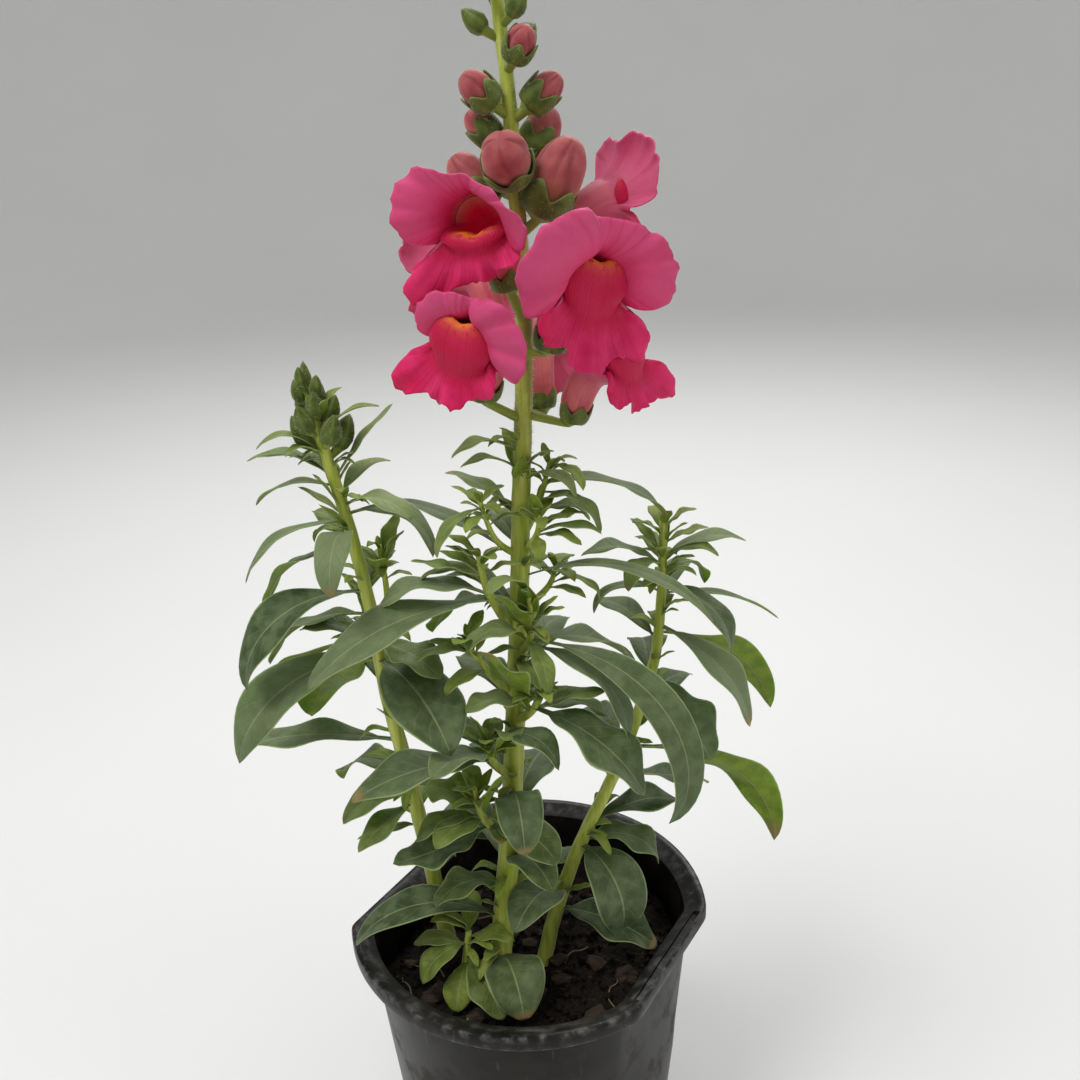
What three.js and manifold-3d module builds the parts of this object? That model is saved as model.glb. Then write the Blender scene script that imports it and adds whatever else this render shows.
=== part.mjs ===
// A snapdragon (Antirrhinum majus) in its black plastic nursery pot, in millimetres, +Z up.
// The origin is the centre of the pot's underside and -Y is the plant's front.
import * as THREE from "three";
import Module from "manifold-3d";
import { mergeVertices } from "three/addons/utils/BufferGeometryUtils.js";

const wasm = await Module();
wasm.setup();

// ---- Driving dimensions -------------------------------------------------------------------

const SEAT_GAP = 0.35; // clearance between solids that touch on the real plant
const GOLDEN_ANGLE = 137.5; // turn from one leaf to the next, degrees

// Pot: a 12 cm nursery pot, with two opposite stretches of its rim pressed flat.
const POT_HEIGHT = 105;
const RIM_RADIUS = 60;
const RIM_BAND = 3.6; // width of the sloping band on top of the rim
const RIM_LIP = 5.2; // height of the lip that hangs outside the wall
const RIM_SLOPE = 1.2; // fall of the band towards the inside
const RIM_EDGE = 0.8; // bevel along the rim's edges
const RIM_STEM = 1.5; // depth of the slope from the band down to the wall
const BODY_TOP_RADIUS = 54.4;
const BODY_FOOT_RADIUS = 44.5;
const FOOT_CHAMFER = 2.5;
const WAIST = 50; // below this height the flats no longer reach the wall's full depth
const WALL = 1.6;
const FLOOR_THICKNESS = 2;
const FLOOR_FILLET = 1;
const FLATS = [
  { azimuth: -33, distance: 54.3, depth: 0.6 }, // front right, with a stepped ridge
  { azimuth: 147, distance: 46, depth: 9 }, // back left, where the wall is pressed in too
];
const FLAT_FADE = 70; // a flat fades out this far below the rim
const FLAT_ROUNDING = 1.1; // softness of the corner between a flat and the round rim
const RIM_STEP = { height: 1.5, width: 2.4, inset: 2.3, margin: 3 }; // ledge behind the flat's ridge
const POT_SIDES = 42;
const DRAIN_HOLES = 6;
const DRAIN_RADIUS = 4;
const DRAIN_CIRCLE = 31;
const DRAIN_SIDES = 16;

// Soil, with bark chips on top.
const SOIL_TOP = 86;
const SOIL_BUMP = 1.1;
const SOIL_SHRINKAGE = 2.5; // dried soil stands this far off the wall
const SOIL_RINGS = [0.78, 0.55, 0.3]; // shares of the way out to the wall
const CHIPS = { count: 10, size: [2.2, 5.8], reach: [14, 39], front: [-75, 40], flatness: 0.45 };

// Blades of leaves.
const LEAF_THICKNESS = 1.1; // along the midrib
const LEAF_FOLD = 14; // each half rises this much from the midrib, degrees
const BLADE_SPREAD = 1.15; // a flat blade is this much wider than it looks when folded
const DROOP_POWER = 1.4; // a leaf bends more towards its tip
const MIDRIB_STEPS = 24;
const FUSE_TOLERANCE = 0.15; // slivers under this size are merged away

// Corolla of an open flower of size 1: a bent tube that opens into two lips with five lobes.
const TUBE_LENGTH = 26;
const TUBE_STEPS = 20;
const TUBE_BEND_POWER = 2; // the tube stays steep and levels out near its mouth
const TUBE_PROFILE = [ // distance along the tube, radius, sag of the pouch below it
  [0, 2.3, 0],
  [4.6, 4.5, 1],
  [17, 5.3, 0.3],
];
const MOUTH_RADIUS = 7.2;
const PETAL_THICKNESS = 0.9;
const PETAL_STEPS = 8;
const PETAL_ROWS = [0, 0.45, 1]; // shares of the reach from the mouth to the edge
const LOWER_LIP = { forward: 7, widen: 0.36 }; // it leaves the mouth in front of the upper lip
const PALATE = { forward: -0.6, rise: 14, widen: 0.42, flatness: 0.6 }; // it closes the mouth
const CLEFT = { depth: 0.05, width: 12 }; // the dent between the palate's two humps
const CHIN = { forward: 1.9, low: 0.5, widen: 0.42 }; // bulge from the palate to the lobes
const THROAT = { depth: 5, radius: 3 };

// The petal's edge round the mouth: angle (0 is the flower's left, 90 its top), reach, how
// steeply it leaves the mouth at the root and at the edge (0 is forward, 90 outward), and its
// lobe (0 and 1 make the upper lip, 2 to 4 the lower lip; a half is a notch between two).
const PETAL_EDGE = [
  [-6, 4, 30, 60, 4.5],
  [12, 15, 14, 94, 0],
  [38, 20.5, 10, 100, 0],
  [66, 20, 10, 100, 0],
  [90, 15.5, 14, 94, 0.5],
  [114, 20, 10, 100, 1],
  [142, 20.5, 10, 100, 1],
  [168, 15, 14, 94, 1],
  [186, 4, 30, 60, 1.5],
  [205, 10, 70, 84, 2],
  [224, 14.5, 90, 72, 2],
  [243, 10.5, 96, 64, 2.5],
  [260, 14, 100, 66, 3],
  [280, 14, 100, 66, 3],
  [297, 10.5, 96, 64, 3.5],
  [316, 14.5, 90, 72, 4],
  [335, 10, 70, 84, 4],
];

// Calyx: a cup with five sepal points, on a thin pedicel.
const SEPAL_CLEARANCE = 1.5; // room between the sepal points and what swells inside them
const CALYX_FOOT = { outside: 0.9, inside: 0.8 }; // girths of the cup's foot, as shares
const SEPAL_THICKNESS = 0.7;
const SEPAL_NOTCH = 0.5; // how far up the notches between the sepals are
const PEDICEL_RADIUS = 1.4;

// ---- Small helpers ------------------------------------------------------------------------

const radians = (degrees) => (degrees * Math.PI) / 180;
const vector = (x, y, z) => new THREE.Vector3(x, y, z);
const clamp01 = (value) => Math.min(1, Math.max(0, value));

// A seeded draw between 0 and 1 (mulberry32).
function makeRandom(seed) {
  let state = seed >>> 0;
  return () => {
    state = (state + 0x6d2b79f5) >>> 0;
    let mixed = Math.imul(state ^ (state >>> 15), 1 | state);
    mixed = (mixed + Math.imul(mixed ^ (mixed >>> 7), 61 | mixed)) ^ mixed;
    return ((mixed ^ (mixed >>> 14)) >>> 0) / 4294967296;
  };
}

// Unit vector at a compass azimuth (0 is +X, 90 is +Y) and an elevation, in degrees.
function direction(azimuth, elevation) {
  const level = Math.cos(radians(elevation));
  return vector(
    level * Math.cos(radians(azimuth)),
    level * Math.sin(radians(azimuth)),
    Math.sin(radians(elevation)),
  );
}

// ---- Closed solids ------------------------------------------------------------------------

// Turns points and faces into a solid, whichever way the faces wind.
function solid(points, faces) {
  const geometry = new THREE.BufferGeometry();
  const coordinates = points.flatMap((point) => point.toArray());
  geometry.setAttribute("position", new THREE.Float32BufferAttribute(coordinates, 3));
  geometry.setIndex(faces.flat());
  return solidFromGeometry(geometry);
}

function solidFromGeometry(source) {
  const bare = source.clone();
  bare.deleteAttribute("normal");
  bare.deleteAttribute("uv");
  const merged = mergeVertices(bare, 1e-5);
  const vertProperties = new Float32Array(merged.attributes.position.array);
  const triVerts = new Uint32Array(merged.index.array);
  const shape = new wasm.Manifold(new wasm.Mesh({ numProp: 3, vertProperties, triVerts }));
  if (shape.volume() > 0) {
    return shape;
  }
  const turned = triVerts.slice().reverse();
  return new wasm.Manifold(new wasm.Mesh({ numProp: 3, vertProperties, triVerts: turned }));
}

// Joins rings of points into a closed tube. A ring may have as many points as the next one,
// or twice or half as many; a ring of one point closes an end to a tip.
function loft(rings) {
  const points = rings.flat();
  const faces = [];
  const starts = [];
  let count = 0;
  for (const ring of rings) {
    starts.push(count);
    count += ring.length;
  }
  for (let i = 0; i + 1 < rings.length; i += 1) {
    const here = rings[i].length;
    const there = rings[i + 1].length;
    const at = (k) => starts[i] + (k % here);
    const beyond = (k) => starts[i + 1] + (k % there);
    for (let k = 0; k < Math.max(here, there); k += 1) {
      const half = Math.floor(k / 2);
      const isOdd = k % 2 === 1;
      if (there === 1) {
        faces.push([at(k), at(k + 1), beyond(0)]);
      } else if (here === 1) {
        faces.push([at(0), beyond(k + 1), beyond(k)]);
      } else if (here === there) {
        faces.push([at(k), at(k + 1), beyond(k)], [at(k + 1), beyond(k + 1), beyond(k)]);
      } else if (there === 2 * here) {
        faces.push([at(isOdd ? half + 1 : half), beyond(k + 1), beyond(k)]);
        if (isOdd) faces.push([at(half), at(half + 1), beyond(k)]);
      } else {
        faces.push([at(k), at(k + 1), beyond(isOdd ? half + 1 : half)]);
        if (isOdd) faces.push([at(k), beyond(half + 1), beyond(half)]);
      }
    }
  }
  for (const [index, inward] of [[0, true], [rings.length - 1, false]]) {
    const sides = rings[index].length;
    for (let k = 1; k + 1 < sides; k += 1) {
      const [a, b, c] = [starts[index], starts[index] + k, starts[index] + k + 1];
      faces.push(inward ? [a, c, b] : [a, b, c]);
    }
  }
  return solid(points, faces);
}

// Adds solids together and keeps the largest body, so no scrap or sealed hollow stays.
function fuse(solids) {
  const joined = solids.reduce((sum, next) => sum.add(next)).simplify(FUSE_TOLERANCE);
  const bodies = joined.decompose();
  return bodies.reduce((largest, body) => (body.volume() > largest.volume() ? body : largest));
}

// ---- Plant scene --------------------------------------------------------------------------

const plant = new THREE.Group();

function addNode(name, shape, colour, roughness) {
  const mesh = shape.getMesh();
  const geometry = new THREE.BufferGeometry();
  geometry.setAttribute("position", new THREE.Float32BufferAttribute(mesh.vertProperties, 3));
  geometry.setIndex(Array.from(mesh.triVerts));
  geometry.computeVertexNormals();
  const material = new THREE.MeshStandardMaterial({ color: colour, roughness, metalness: 0 });
  const node = new THREE.Mesh(geometry, material);
  node.name = name;
  plant.add(node);
}

const GREEN = 0x5f7a3a;
const PINK = 0xe0406f;
const ROSE = 0xc95a68;
const POT_BLACK = 0x2b2c2d;
const SOIL_BROWN = 0x1d1815;

// ---- Pot ----------------------------------------------------------------------------------

// Radius of the pot's outline at an azimuth: a circle cut by the two flats, with soft corners.
function potRadius(azimuth, radius, inset, fade) {
  let result = radius;
  for (const flat of FLATS) {
    const turn = Math.cos(radians(azimuth - flat.azimuth));
    if (turn > 0.2) {
      const chord = (flat.distance - inset + flat.depth * fade) / turn;
      const spread = Math.abs(result - chord);
      const soft = Math.max(0, FLAT_ROUNDING - spread) ** 2 / (4 * FLAT_ROUNDING);
      result = Math.min(result, chord) - soft;
    }
  }
  return result;
}

function potRing(radius, height, inset) {
  const fade = clamp01((POT_HEIGHT - RIM_LIP - height) / FLAT_FADE);
  const ring = [];
  for (let k = 0; k < POT_SIDES; k += 1) {
    const azimuth = (360 * k) / POT_SIDES;
    const reach = potRadius(azimuth, radius, inset, fade);
    ring.push(direction(azimuth, 0).multiplyScalar(reach).setZ(height));
  }
  return ring;
}

function wallRadius(height) {
  return BODY_FOOT_RADIUS + (BODY_TOP_RADIUS - BODY_FOOT_RADIUS) * (height / (POT_HEIGHT - RIM_LIP));
}

// The wall is straight between its waist and the foot of the rim, inside and out.
const WALL_TOP = POT_HEIGHT - RIM_SLOPE - RIM_STEM;
const BODY_INSET = RIM_RADIUS - BODY_TOP_RADIUS;

function innerRing(height) {
  const share = (height - WAIST) / (WALL_TOP - WAIST);
  const waist = potRing(wallRadius(WAIST) - WALL, WAIST, BODY_INSET + WALL);
  const top = potRing(BODY_TOP_RADIUS - WALL, WALL_TOP, BODY_INSET + WALL);
  return waist.map((point, k) => point.clone().lerp(top[k], share));
}

function drainHole(azimuth) {
  const drill = new THREE.CylinderGeometry(DRAIN_RADIUS, DRAIN_RADIUS, 3 * FLOOR_THICKNESS, DRAIN_SIDES);
  drill.rotateX(Math.PI / 2);
  const { x, y } = direction(azimuth, 0).multiplyScalar(DRAIN_CIRCLE);
  drill.translate(x, y, FLOOR_THICKNESS / 2);
  return solidFromGeometry(drill);
}

// The front flat carries a narrow ridge: the band behind it is lowered to a ledge.
function rimLedge([front]) {
  const halfLength = Math.sqrt(RIM_RADIUS ** 2 - front.distance ** 2) - RIM_STEP.margin;
  const ledge = new THREE.BoxGeometry(RIM_STEP.width, 2 * halfLength, 2 * RIM_STEP.height);
  ledge.translate(front.distance - RIM_STEP.inset, 0, POT_HEIGHT);
  ledge.rotateZ(radians(front.azimuth));
  return solidFromGeometry(ledge);
}

function buildPot() {
  const lipFoot = POT_HEIGHT - RIM_LIP;
  const bandInside = RIM_BAND + RIM_EDGE;
  const footInside = BODY_FOOT_RADIUS - WALL;
  let pot = loft([
    potRing(BODY_FOOT_RADIUS - FOOT_CHAMFER, 0, BODY_INSET + FOOT_CHAMFER),
    potRing(BODY_FOOT_RADIUS, FOOT_CHAMFER, BODY_INSET),
    potRing(wallRadius(WAIST), WAIST, BODY_INSET),
    potRing(BODY_TOP_RADIUS, lipFoot + RIM_EDGE, BODY_INSET),
    potRing(RIM_RADIUS - RIM_EDGE, lipFoot, RIM_EDGE),
    potRing(RIM_RADIUS, lipFoot + RIM_EDGE, 0),
    potRing(RIM_RADIUS, POT_HEIGHT - RIM_EDGE, 0),
    potRing(RIM_RADIUS - RIM_EDGE, POT_HEIGHT, RIM_EDGE),
    potRing(RIM_RADIUS - bandInside, POT_HEIGHT - RIM_SLOPE, bandInside),
    innerRing(WALL_TOP),
    innerRing(WAIST),
    potRing(footInside - FLOOR_FILLET, FLOOR_THICKNESS + FLOOR_FILLET, BODY_INSET + WALL + FLOOR_FILLET),
    potRing(footInside - 2 * FLOOR_FILLET, FLOOR_THICKNESS, BODY_INSET + WALL + 2 * FLOOR_FILLET),
  ]);
  for (let k = 0; k < DRAIN_HOLES; k += 1) {
    pot = pot.subtract(drainHole((360 * (k + 0.5)) / DRAIN_HOLES));
  }
  return pot.subtract(rimLedge(FLATS));
}

// ---- Soil ---------------------------------------------------------------------------------

function soilHeight(x, y) {
  const waves = Math.sin(x * 0.21 + 1) * Math.cos(y * 0.17) + 0.6 * Math.sin(x * 0.43 - y * 0.37);
  return SOIL_TOP + SOIL_BUMP * waves;
}

// A bark chip, half sunk in the soil. Most lie at the front right.
function barkChip(random, index) {
  const between = ([low, high]) => low + random() * (high - low);
  const azimuth = between(index % 3 === 0 ? [0, 360] : CHIPS.front);
  const { x, y } = direction(azimuth, 0).multiplyScalar(between(CHIPS.reach));
  const chip = new THREE.DodecahedronGeometry(between(CHIPS.size), 0);
  chip.scale(1, 0.7, CHIPS.flatness);
  chip.rotateX(radians(between([-20, 20])));
  chip.rotateZ(radians(between([0, 180])));
  chip.translate(x, y, soilHeight(x, y) + SEAT_GAP);
  return solidFromGeometry(chip);
}

function buildSoil(stemHoles) {
  const floor = FLOOR_THICKNESS + SEAT_GAP;
  // The pot's inner wall, drawn in by the shrinkage and then to a share of what is left.
  const ringInside = (height, share) => innerRing(height).map((point) => {
    const reach = Math.hypot(point.x, point.y);
    return point.multiplyScalar(((reach - SOIL_SHRINKAGE) / reach) * share).setZ(height);
  });
  const everySecond = (ring) => ring.filter((_, k) => k % 2 === 0);
  const surfaceRing = (share) => (
    ringInside(SOIL_TOP, share).map(({ x, y }) => vector(x, y, soilHeight(x, y)))
  );
  const block = loft([
    [vector(0, 0, floor)],
    everySecond(ringInside(WAIST, 0.84)).map((point) => point.setZ(floor)),
    everySecond(ringInside(WAIST, 0.87)).map((point) => point.setZ(floor + 2 * FLOOR_FILLET)),
    ringInside(WAIST, 1),
    surfaceRing(1),
    ...SOIL_RINGS.map((share) => everySecond(surfaceRing(share))),
    [vector(0, 0, soilHeight(0, 0))],
  ]);
  const random = makeRandom(4);
  const chips = Array.from({ length: CHIPS.count }, (_, index) => barkChip(random, index));
  const soil = stemHoles.reduce((rest, hole) => rest.subtract(hole), fuse([block, ...chips]));
  return fuse([soil]);
}

// ---- Stems --------------------------------------------------------------------------------

const STEM_FOOT = 76; // height at which the stems end, in holes in the soil

// Stem and shoot centre lines: points from foot to tip, with the radius at foot and tip.
const MAIN_STEM = {
  stem: {
    radius: [3.8, 1.5],
    points: [[-12, -16, STEM_FOOT], [-9, -13, 105], [-5, -10, 140], [-2, -7, 176], [1, -4, 215],
      [3, -1, 250], [5, 1, 280], [6, 2, 307], [5, 3, 340], [4, 3, 362], [2, 4, 386], [1, 4, 412]],
  },
  leftHigh: { radius: [1.6, 0.8], points: [[-2, -5, 210], [-8, -10, 225], [-10, -12, 237]] },
  leftMiddle: { radius: [1.5, 0.8], points: [[-3, -6, 189], [-9, -11, 199], [-15, -14, 210]] },
  frontHigh: { radius: [1.5, 0.7], points: [[0, -5, 201], [4, -11, 210], [4, -14, 224]] },
  frontMiddle: { radius: [1.6, 0.8], points: [[-2, -7, 179], [4, -14, 187], [6, -16, 195]] },
  leftLow: { radius: [1.6, 0.8], points: [[-4, -9, 160], [-9, -15, 170], [-11, -17, 178]] },
  footLeft: { radius: [1.6, 0.8], points: [[-6, -11, 139], [-13, -18, 152], [-15, -20, 164]] },
  topLeft: { radius: [1.2, 0.6], points: [[2, -2, 232], [-5, -5, 239], [-9, -8, 252]] },
  topRight: { radius: [1.3, 0.6], points: [[3, -1, 238], [8, -1, 248], [12, -2, 262]] },
  topFront: { radius: [1.2, 0.6], points: [[3, -2, 233], [7, -8, 241], [8, -10, 248]] },
  rightHigh: { radius: [1.3, 0.6], points: [[1, -3, 214], [10, 2, 220], [13, 4, 226]] },
};

const LEFT_STEM = {
  stem: {
    radius: [2.9, 1.5],
    points: [[-27, 2, STEM_FOOT], [-30, 4, 96], [-34, 5, 127], [-39, 4, 164], [-42, 2, 187],
      [-44, 0, 216], [-48, -2, 246], [-53, -4, 272], [-56, -4, 291]],
  },
  sideRight: { radius: [1.3, 0.7], points: [[-43, 1, 205], [-39, 2, 218], [-40, 3, 236]] },
};

const RIGHT_STEM = {
  stem: {
    radius: [2.7, 1.3],
    points: [[2, -8, STEM_FOOT], [9, -5, 104], [18, 0, 127], [32, 4, 156], [43, 8, 187],
      [46, 10, 210], [47, 12, 236]],
  },
};

const FRONT_SHOOT = {
  stem: { radius: [2, 1], points: [[-22, -20, STEM_FOOT], [-22, -19, 92], [-20, -17, 108]] },
};

class Stem {
  constructor({ points, radius }) {
    const route = points.map(([x, y, z]) => vector(x, y, z));
    this.curve = new THREE.CatmullRomCurve3(route, false, "catmullrom", 0.5);
    this.radius = radius;
    this.spans = points.length - 1;
  }

  // The curve's own parameter at a height, found by halving: every stem rises all the way.
  shareAt(height) {
    let [low, high] = [0, 1];
    for (let i = 0; i < 20; i += 1) {
      const middle = (low + high) / 2;
      if (this.curve.getPoint(middle).z < height) {
        low = middle;
      } else {
        high = middle;
      }
    }
    return (low + high) / 2;
  }

  at(height) {
    return this.curve.getPoint(this.shareAt(height));
  }

  radiusAt(height) {
    const [foot, tip] = this.radius;
    return foot + (tip - foot) * this.shareAt(height);
  }

  solid(sides, stepsPerSpan) {
    const rings = [];
    const steps = this.spans * stepsPerSpan;
    for (let i = 0; i <= steps; i += 1) {
      const share = i / steps;
      const centre = this.curve.getPoint(share);
      const tangent = this.curve.getTangent(share);
      const across = vector(1, 0, 0).addScaledVector(tangent, -tangent.x).normalize();
      const beyond = vector(0, 0, 0).crossVectors(tangent, across);
      const radius = this.radius[0] + (this.radius[1] - this.radius[0]) * share;
      const ring = [];
      for (let k = 0; k < sides; k += 1) {
        const turn = (2 * Math.PI * k) / sides;
        const point = centre.clone().addScaledVector(across, radius * Math.cos(turn));
        ring.push(point.addScaledVector(beyond, radius * Math.sin(turn)));
      }
      rings.push(ring);
    }
    return loft(rings);
  }
}

// ---- Leaves -------------------------------------------------------------------------------

// Points and side vectors along a midrib that starts at an elevation and droops to its tip.
function midrib(foot, { azimuth, length, rise, droop, sweep = 0, roll = 0 }) {
  const stations = [];
  const point = foot.clone();
  for (let i = 0; i <= MIDRIB_STEPS; i += 1) {
    const share = i / MIDRIB_STEPS;
    const elevation = rise - droop * share ** DROOP_POWER;
    const heading = azimuth + sweep * share;
    const along = direction(heading, elevation);
    const level = direction(heading + 90, 0);
    const up = vector(0, 0, 0).crossVectors(along, level);
    const turn = radians(roll * clamp01(share / 0.4));
    const side = level.clone().multiplyScalar(Math.cos(turn)).addScaledVector(up, Math.sin(turn));
    const normal = vector(0, 0, 0).crossVectors(along, side);
    stations.push({ point: point.clone(), side, normal });
    point.addScaledVector(along, length / MIDRIB_STEPS);
  }
  return stations;
}

// Half width of a lanceolate blade with a short stalk, as a share of its full width.
function leafOutline(share) {
  const stalk = 0.1;
  const blade = clamp01((share - stalk) / (1 - stalk));
  const wide = Math.sin(Math.PI * blade ** 1.1) ** 0.75;
  return 0.5 * BLADE_SPREAD * Math.max(0.16 * (1 - share), wide);
}

function blade(stations, width, outline, sections) {
  const rings = sections.map((share) => {
    const { point, side, normal } = stations[Math.round(share * MIDRIB_STEPS)];
    if (share === 0 || share === 1) {
      return [point.clone()];
    }
    const half = width * outline(share);
    const fold = radians(LEAF_FOLD);
    const thick = LEAF_THICKNESS / 2;
    const edge = (way) => point.clone()
      .addScaledVector(side, way * half * Math.cos(fold))
      .addScaledVector(normal, half * Math.sin(fold));
    return [
      edge(1),
      point.clone().addScaledVector(normal, -thick),
      edge(-1),
      point.clone().addScaledVector(normal, thick),
    ];
  });
  return loft(rings);
}

const LARGE_SECTIONS = [0, 0.12, 0.34, 0.58, 0.82, 1];
const MIDDLE_SECTIONS = [0, 0.16, 0.5, 0.8, 1];
const SMALL_SECTIONS = [0, 0.34, 0.7, 1];

function leafSolid(stem, [height, azimuth, length, width, rise, droop, sweep = 0, roll = 0]) {
  // The stalk starts inside the stem, so that leaf and stem fuse.
  const foot = stem.at(height);
  const reach = length + stem.radiusAt(height);
  const stations = midrib(foot, { azimuth, length: reach, rise, droop, sweep, roll });
  let sections = LARGE_SECTIONS;
  if (length < 30) sections = MIDDLE_SECTIONS;
  if (length < 17) sections = SMALL_SECTIONS;
  return blade(stations, width, leafOutline, sections);
}

// Leaves: height on the stem, azimuth, length, width, rise, droop, sweep and roll.
// Lengths are in millimetres and angles in degrees; droop bends the midrib down to the tip.
const MAIN_LEAVES = {
  stem: [
    [263, -156, 22, 5.5, 42, 92], [258, -160, 18, 4.5, 43, 80], [254, -42, 22, 5, 46, 120],
    [251, -80, 11, 4, 75, 10], [250, -115, 9, 3.5, 78, 10], [249, -50, 9, 3.5, 80, 12],
    [226, -23, 63, 5, 24, 82, 0, 10],
    [153, -83, 32, 13, 48, 140], [109, -172, 52, 14, 36, 100],
    [95, -75, 29, 17, 39, 120], [130, -60, 28, 12, 50, 100], [121, -150, 26, 11, 45, 95],
    [170, -95, 22, 9, 60, 60], [196, -70, 20, 7, 50, 110], [137, -98, 20, 9, 62, 70],
  ],
  leftHigh: [
    [222, -156, 60, 14, 6, 53, 0, -12], [224, -170, 34, 11, 27, 73], [230, -168, 21, 5, 26, 15],
    [229, 174, 21, 5, 31, 92], [223, 140, 31, 12, -15, 55], [234, -60, 10, 4, 50, 60],
    [235, 160, 12, 4, 60, 60],
  ],
  leftMiddle: [
    [206, -165, 18, 5, 30, 70], [204, 160, 17, 5, 35, 60], [208, -110, 13, 5, 55, 60],
    [209, 60, 12, 4, 60, 50], [199, -140, 17, 6, 25, 80],
  ],
  frontHigh: [
    [223, -133, 22, 6, 70, 120], [211, -110, 18, 6, 84, 20], [209, 21, 50, 14, -4, 76],
    [209, -29, 87, 10.5, 2, 134, 0, 45], [207, -18, 48, 13, -9, 97], [210, -130, 22, 9, 60, 20],
    [208, -149, 24, 9, 50, 110], [208, -71, 20, 5.5, 4, 100],
  ],
  frontMiddle: [
    [188, -31, 42, 18, -8, 55], [188, -6, 21, 8, 24, 25], [187, 12, 27, 10, 13, 85],
    [186, -132, 34, 13, 60, 14], [186, -151, 24, 10, 47, 77], [193, -70, 12, 4, 70, 70],
  ],
  leftLow: [
    [172, -125, 30, 12, 40, 60], [170, -38, 35, 9, 74, 160], [171, -160, 44, 17, 13, 42],
    [175, 160, 14, 5, 50, 60], [176, -90, 11, 4, 60, 60], [174, 80, 14, 6, 40, 60],
  ],
  footLeft: [
    [153, -42, 20, 7, 66, 10], [154, 154, 20, 13, 37, 56], [153, -168, 22, 9, 15, 74],
    [151, -137, 20, 10, 26, 65], [148, -157, 31, 15, -14, -20], [148, -33, 26, 15, 17, 81],
    [160, 100, 12, 5, 50, 60],
  ],
  topLeft: [
    [236, 160, 36, 7.5, 30, 26], [250, -147, 21, 5, -2, 88], [249, 120, 12, 4, 40, 70],
    [250, -60, 10, 4, 35, 80], [251, 30, 9, 3.5, 50, 60], [247, -120, 11, 4, 20, 70],
  ],
  topRight: [
    [260, -30, 14, 5, 10, 105], [255, 11, 42, 11, 2, 62], [252, -28, 23, 6, 6, 93],
    [244, -33, 15, 7, 59, 62], [243, -7, 20, 6, 45, 118],
  ],
  topFront: [
    [242, -13, 19, 5, 25, 63], [241, -35, 15, 5, 20, 55], [243, 9, 15, 5, 36, 60],
    [241, -88, 11, 4, 0, 50], [244, -110, 12, 4, 75, 20],
  ],
  rightHigh: [
    [221, -12, 19, 4, 30, 126], [220, -33, 13, 4, 16, 51], [223, 62, 15, 5, 40, 90],
    [224, -60, 12, 4, 40, 90],
  ],
};

const LEFT_LEAVES = {
  stem: [
    [272, -13, 20, 5, 49, 59], [259, 14, 26, 5.5, 52, 12], [266, -170, 21, 5, 54, 110],
    [260, 175, 25, 6.5, 40, 74], [257, 161, 28, 6, 8, 62], [246, -168, 36, 6.5, 4, 80],
    [240, -98, 34, 9, 40, 150], [237, 157, 43, 9.5, -8, 68], [223, -159, 51, 13, 8, 105, 0, -22],
    [215, 158, 46, 10, -5, 65], [251, -33, 25, 9, 27, 74], [248, -14, 33, 10, 21, 120],
    [168, 166, 58, 14, 3, 30], [202, -161, 57, 15, 0, 82, 0, -32], [206, 171, 43, 9, -8, 50, 0, 30],
    [199, 141, 48, 18, -20, 55, 0, 30], [205, -39, 25, 13, 5, 42], [199, -56, 43, 21, 3, 62],
    [200, 51, 27, 13, -20, 60],
    [148, -157, 24, 12, 18, 76], [144, -136, 23, 9, -4, 30], [135, 169, 22, 6, -12, 20],
  ],
  sideRight: [
    [228, -30, 16, 5, 70, 30], [230, 60, 16, 5, 65, 35], [224, 150, 15, 5, 60, 40],
    [226, -100, 14, 5, 60, 50],
  ],
};

const RIGHT_LEAVES = {
  stem: [
    [233, -12, 12, 5, 60, 60], [229, -12, 14, 5.5, 34, 30], [225, 5, 27, 8, 30, 62],
    [223, -21, 19, 6.5, 50, 99], [220, 31, 22, 7, 18, 115], [222, -175, 27, 8, 40, 74],
    [221, -136, 21, 7, 46, 140], [216, -26, 34, 11.5, -8, 95], [202, -27, 44, 15, -20, 64],
    [186, -59, 33, 17, -24, 20], [213, 30, 56, 6.5, -12, 32], [200, 25, 64, 11, -18, 60, 0, -45],
    [161, 9, 76, 13, -8, 84, 0, -55], [152, 36, 49, 11, -24, 8], [213, -172, 26, 6, 34, 120],
    [128, -10, 30, 12.5, 30, 118], [127, -60, 38, 18, 15, 150], [106, -24, 34, 16, 4, 40],
    [110, -120, 34, 15, 50, 90], [232, 100, 13, 5, 50, 70], [231, -160, 12, 5, 55, 60],
    [234, -80, 8, 3.5, 70, 40],
  ],
};

const FRONT_SHOOT_LEAVES = {
  stem: [
    [104, -150, 20, 9, 10, 90], [100, -60, 24, 12, -10, 30], [103, 170, 18, 7, 20, 60],
    [98, -105, 16, 9, -20, 40], [106, -20, 16, 7, 30, 60], [107, 80, 14, 6, 50, 50],
  ],
};

// Leaves on the far side, one golden angle after another, kept within an arc of azimuths.
function farLeaves({ from, to, count, middle, arc, length, width, seed }) {
  const random = makeRandom(seed);
  const rows = [];
  for (let i = 0; i < count; i += 1) {
    const share = (i + 0.5) / count;
    const turn = ((i * GOLDEN_ANGLE) % 360) / 360 - 0.5;
    rows.push([
      from + (to - from) * share,
      middle + arc * turn,
      (length[0] + (length[1] - length[0]) * share) * (0.85 + 0.3 * random()),
      (width[0] + (width[1] - width[0]) * share) * (0.85 + 0.3 * random()),
      5 + 35 * share + 15 * random(),
      50 + 45 * random(),
    ]);
  }
  return rows;
}

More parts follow.
